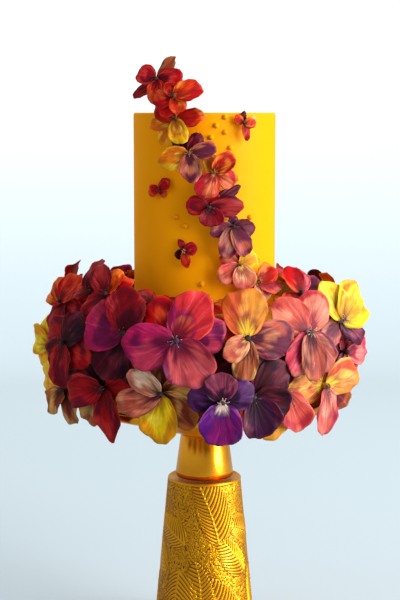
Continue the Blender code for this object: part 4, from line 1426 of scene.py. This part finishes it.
    def sleeve(self, finish: bpy.types.Material) -> None:
        """Build the embossed sleeve.

        Args:
            finish: its gold.
        """
        corners = node_corners("stand_sleeve")
        reach = np.hypot(corners[:, 0], corners[:, 1])
        top = corners[:, 2].max()
        shoulder = corners[reach > reach[corners[:, 2] > top - 10 * MM].max() - 0.1 * MM][:, 2].max()
        shoulder_radius = reach[np.abs(corners[:, 2] - shoulder) < 0.1 * MM].max()
        seat = reach[corners[:, 2] > top - 0.1 * MM].max()
        foot_radius = reach.max()
        rim = self.foot_rim * MM
        cone_foot = foot_radius - self.foot_step * MM
        levels = np.linspace(rim, shoulder, self.sleeve_rows)
        turns = np.linspace(0, 2 * np.pi, self.sleeve_sides, endpoint=False)
        part = ((levels - rim) / (shoulder - rim))[:, None]
        cone = cone_foot + (shoulder_radius - cone_foot) * part
        height = (levels[:, None] - rim) / MM
        span = (shoulder - rim) / MM
        mean = (cone_foot + shoulder_radius) / 2 / MM
        raised, leaves = self.sleeve_relief(turns[None, :], height, mean)
        line = np.maximum(1 - smooth(self.lip, self.lip + self.lip_ease, height),
                          smooth(span - self.lip - self.lip_ease, span - self.lip, height))
        raised = raised * (1 - line) + self.lip_height * line
        leaves[..., 2] = np.maximum(leaves[..., 2], line)
        wall = cone - (1 - raised) * self.relief * MM
        below = [(foot_radius - 0.8 * MM, 0.0), (foot_radius, 0.8 * MM), (foot_radius, rim - 1.2 * MM),
                 (foot_radius - 0.5 * MM, rim - 0.5 * MM)]
        above = [(shoulder_radius - inset * MM, shoulder + rise * MM) for inset, rise in self.rim_rings]
        above += [(seat + out * MM, shoulder + rise * MM) for out, rise in self.recess_rings]
        low, high = (ring_corners(band[:, :1], band[:, 1:], turns) for band in (np.array(below), np.array(above)))
        rings = np.concatenate([low, ring_corners(wall, levels[:, None], turns), high])
        points, faces = close_ends(rings.reshape(-1, 3), [(0, 0, 0), (0, 0, above[-1][1])], self.sleeve_sides)
        plain_low, plain_high = np.ones_like(low), np.ones_like(high)
        # painted shade: the recess rings under the neck take darker gold
        plain_high[len(self.rim_rings):, :, 1:] = self.recess_painted_shade
        place = np.concatenate([plain_low, leaves, plain_high]).reshape(-1, 3)
        shape = MeshBuilder()
        shape.add(points, faces, place=np.concatenate([place, np.ones((2, 3))]))
        settle(shape.build("stand_sleeve_embossed", (finish,)), "gold", "stand_sleeve")

    def outline(self, node: str) -> list[tuple[float, float]]:
        """Profile of a turned CAD node from the bottom axis up to the top axis, in metres."""
        corners = node_corners(node)
        front = corners[(np.abs(corners[:, 1]) < 0.01 * MM) & (corners[:, 0] > 0.01 * MM)]
        rows = sorted({(round(float(x), 6), round(float(z), 6)) for x, _, z in front}, key=lambda row: (row[1], row[0]))
        low, high = rows[0][1], rows[-1][1]
        if len(rows) > 1 and rows[-1][1] == rows[-2][1]:
            rows[-2:] = sorted(rows[-2:], reverse=True)
        return [(0.0, low)] + rows + [(0.0, high)]

    def build(self) -> None:
        """Build the stand."""
        plain = GoldFinish("gold", (0.94, 0.41, 0.003), (0.40, 0.13, 0.001), 0.20, coat=0.5).make(self.effects)
        # the dark second colour of the embossed gold is painted shade in its grooves
        embossed = GoldFinish("gold_embossed", (0.84, 0.40, 0.006), (0.17, 0.045, 0.001), 0.32,
                              embossed=True).make(self.effects)
        self.smooth_part("stand_plate", self.outline("stand_plate"), plain)
        neck = self.outline("stand_neck")
        sinks = self.neck_sinks * MM
        neck[:2] = [(0.0, neck[0][1] - sinks), (neck[1][0] + self.neck_flare * sinks, neck[1][1] - sinks)]
        self.smooth_part("stand_neck", neck, plain)
        self.sleeve(embossed)


class Softbox(NamedTuple):
    """One area light: its place, its width and height in metres, its power, what it faces and what it lights."""
    name: str
    place: tuple[float, float, float]
    size: tuple[float, float]
    watts: float
    target: tuple[float, float, float] = (0, 0, 0.42)
    diffuse: bool = True
    glossy: bool = True


@dataclass
class Studio:
    """Camera, soft light, pale floor and backdrop."""
    camera_place: tuple[float, float, float] = (0.0, -1.56, 0.590)
    tilt: float = 7.4                 # degrees below the horizon
    shift_pixels: float = 4.5         # the cake's axis stands this far right of the picture's middle
    focal_pixels: float = 1443.0
    picture_height: float = 600.0
    floor_colour: Colour = (0.50, 0.58, 0.62)
    # painted reflection: glossy rays see the floor and backdrop in this darker, warmer colour, so the gold reflects a
    # darker room
    painted_reflection_colour: Colour = (0.36, 0.34, 0.28)
    backdrop_colour: Colour = (0.70, 0.77, 0.78)
    backdrop_glow: float = 0.17
    backdrop_radius: float = 2.3
    backdrop_height: float = 3.2
    backdrop_sides: int = 96
    bend: float = 0.7                 # radius of the curve from the floor up to the wall
    bend_rings: int = 17
    wall_from: float = 0.9            # height at which it has the wall's full colour
    sky_colour: Colour = (0.93, 0.97, 1.0)
    sky_strength: float = 0.42
    # the matt lights stand outside the backdrop, which lets them through, so they leave no edge on it
    softboxes: tuple[Softbox, ...] = (
        Softbox("key", (3.02, -1.34, 1.26), (3.7, 2.85), 262),
        Softbox("window_shine", (1.78, -0.90, 0.55), (0.9, 1.1), 52, (0, 0, 0.3), diffuse=False),
        Softbox("fill", (-2.60, -1.83, 0.99), (2.6, 2.6), 16, glossy=False),
        Softbox("rear", (-1.87, 2.89, 1.75), (2.0, 2.0), 40, glossy=False),
        Softbox("backdrop_light", (0.2, 0.7, 2.6), (1.6, 1.6), 34, (0, 2.3, 0.8), glossy=False))

    def camera(self) -> None:
        """Set up the camera at the photograph's angle."""
        data = bpy.data.cameras.new("camera")
        data.sensor_fit = "VERTICAL"
        data.sensor_height = 36
        data.lens = self.focal_pixels / self.picture_height * data.sensor_height
        camera = bpy.data.objects.new("camera", data)
        camera.location = self.camera_place
        yaw = math.atan(self.shift_pixels / self.focal_pixels)
        camera.rotation_euler = (math.radians(90 - self.tilt), 0, yaw)
        bpy.context.scene.collection.objects.link(camera)
        bpy.context.scene.camera = camera

    @staticmethod
    def light(box: Softbox) -> None:
        """Add an area light.

        Args:
            box: the light.
        """
        data = bpy.data.lights.new(box.name, "AREA")
        data.shape, data.energy = "RECTANGLE", box.watts
        data.size, data.size_y = box.size
        light = bpy.data.objects.new(box.name, data)
        light.location = box.place
        light.rotation_euler = (Vector(box.place) - Vector(box.target)).to_track_quat("Z", "Y").to_euler()
        light.visible_camera = False
        light.visible_diffuse, light.visible_glossy = box.diffuse, box.glossy
        bpy.context.scene.collection.objects.link(light)

    def sweep(self) -> None:
        """Build the round floor with the backdrop that rises round it in one curve."""
        reach, bend, height, steps = self.backdrop_radius, self.bend, self.backdrop_height, self.backdrop_sides
        profile = [(0.0, 0.0), (0.4, 0.0), (1.0, 0.0)]
        profile += [(reach - bend + bend * math.sin(a), bend - bend * math.cos(a))
                    for a in np.linspace(0, math.pi / 2, self.bend_rings)]
        profile += [(reach, height), (0.0, height)]
        points, faces = turned_shape(profile, steps)
        faces = [tuple(q) if q[2] != q[3] else tuple(q[:3]) for q in faces[:-steps].tolist()]
        mesh = bpy.data.meshes.new("floor")
        mesh.from_pydata(points.tolist(), [], faces)
        mesh.polygons.foreach_set("use_smooth", np.ones(len(faces), dtype=bool))
        made, nodes, shader = start_material("floor")
        place = nodes.add("ShaderNodeSeparateXYZ", {0: nodes.add("ShaderNodeTexCoord").outputs["Object"]})
        wall = nodes.ramp(place.outputs[2], 0.0, self.wall_from)
        seen = nodes.mix(wall, self.floor_colour, self.backdrop_colour)
        # painted reflection: to glossy rays the floor and backdrop take the darker reflection colour
        glossy = nodes.add("ShaderNodeLightPath").outputs["Is Glossy Ray"]
        nodes.link(nodes.mix(glossy, seen, self.painted_reflection_colour), shader.inputs["Base Color"])
        shader.inputs["Emission Strength"].default_value = self.backdrop_glow
        nodes.link(nodes.mix(wall, (0.0, 0.0, 0.0), self.backdrop_colour), shader.inputs["Emission Color"])
        # the faces point outwards, and from there the near wall doesn't hide the cake
        inside = nodes.add("ShaderNodeNewGeometry").outputs["Backfacing"]
        nodes.link(inside, shader.inputs["Alpha"])
        shader.inputs["Roughness"].default_value = 0.9
        shader.inputs["Specular IOR Level"].default_value = 0.1
        mesh.materials.append(made)
        floor = bpy.data.objects.new("floor", mesh)
        bpy.context.scene.collection.objects.link(floor)
        floor.visible_shadow = False      # the light of the room comes through the backdrop
        floor.visible_diffuse = False

    def build(self) -> None:
        """Build the studio."""
        self.camera()
        self.sweep()
        for box in self.softboxes:
            self.light(box)
        world = bpy.data.worlds.new("studio")
        world.use_nodes = True
        sky = world.node_tree.nodes["Background"]
        sky.inputs["Color"].default_value = (*self.sky_colour, 1)
        sky.inputs["Strength"].default_value = self.sky_strength
        bpy.context.scene.world = world
        bpy.context.scene.view_settings.view_transform = "Standard"


def main() -> None:
    """Build the studio, the stand, the tiers and the flowers."""
    logging.basicConfig(level=logging.INFO, format="%(name)s: %(message)s")
    Studio().build()
    effects = EffectLibrary()
    GoldStand(effects).build()
    CakeTiers(effects).build()
    FlowerDisplay(effects).build()


if __name__ == "__main__":
    main()
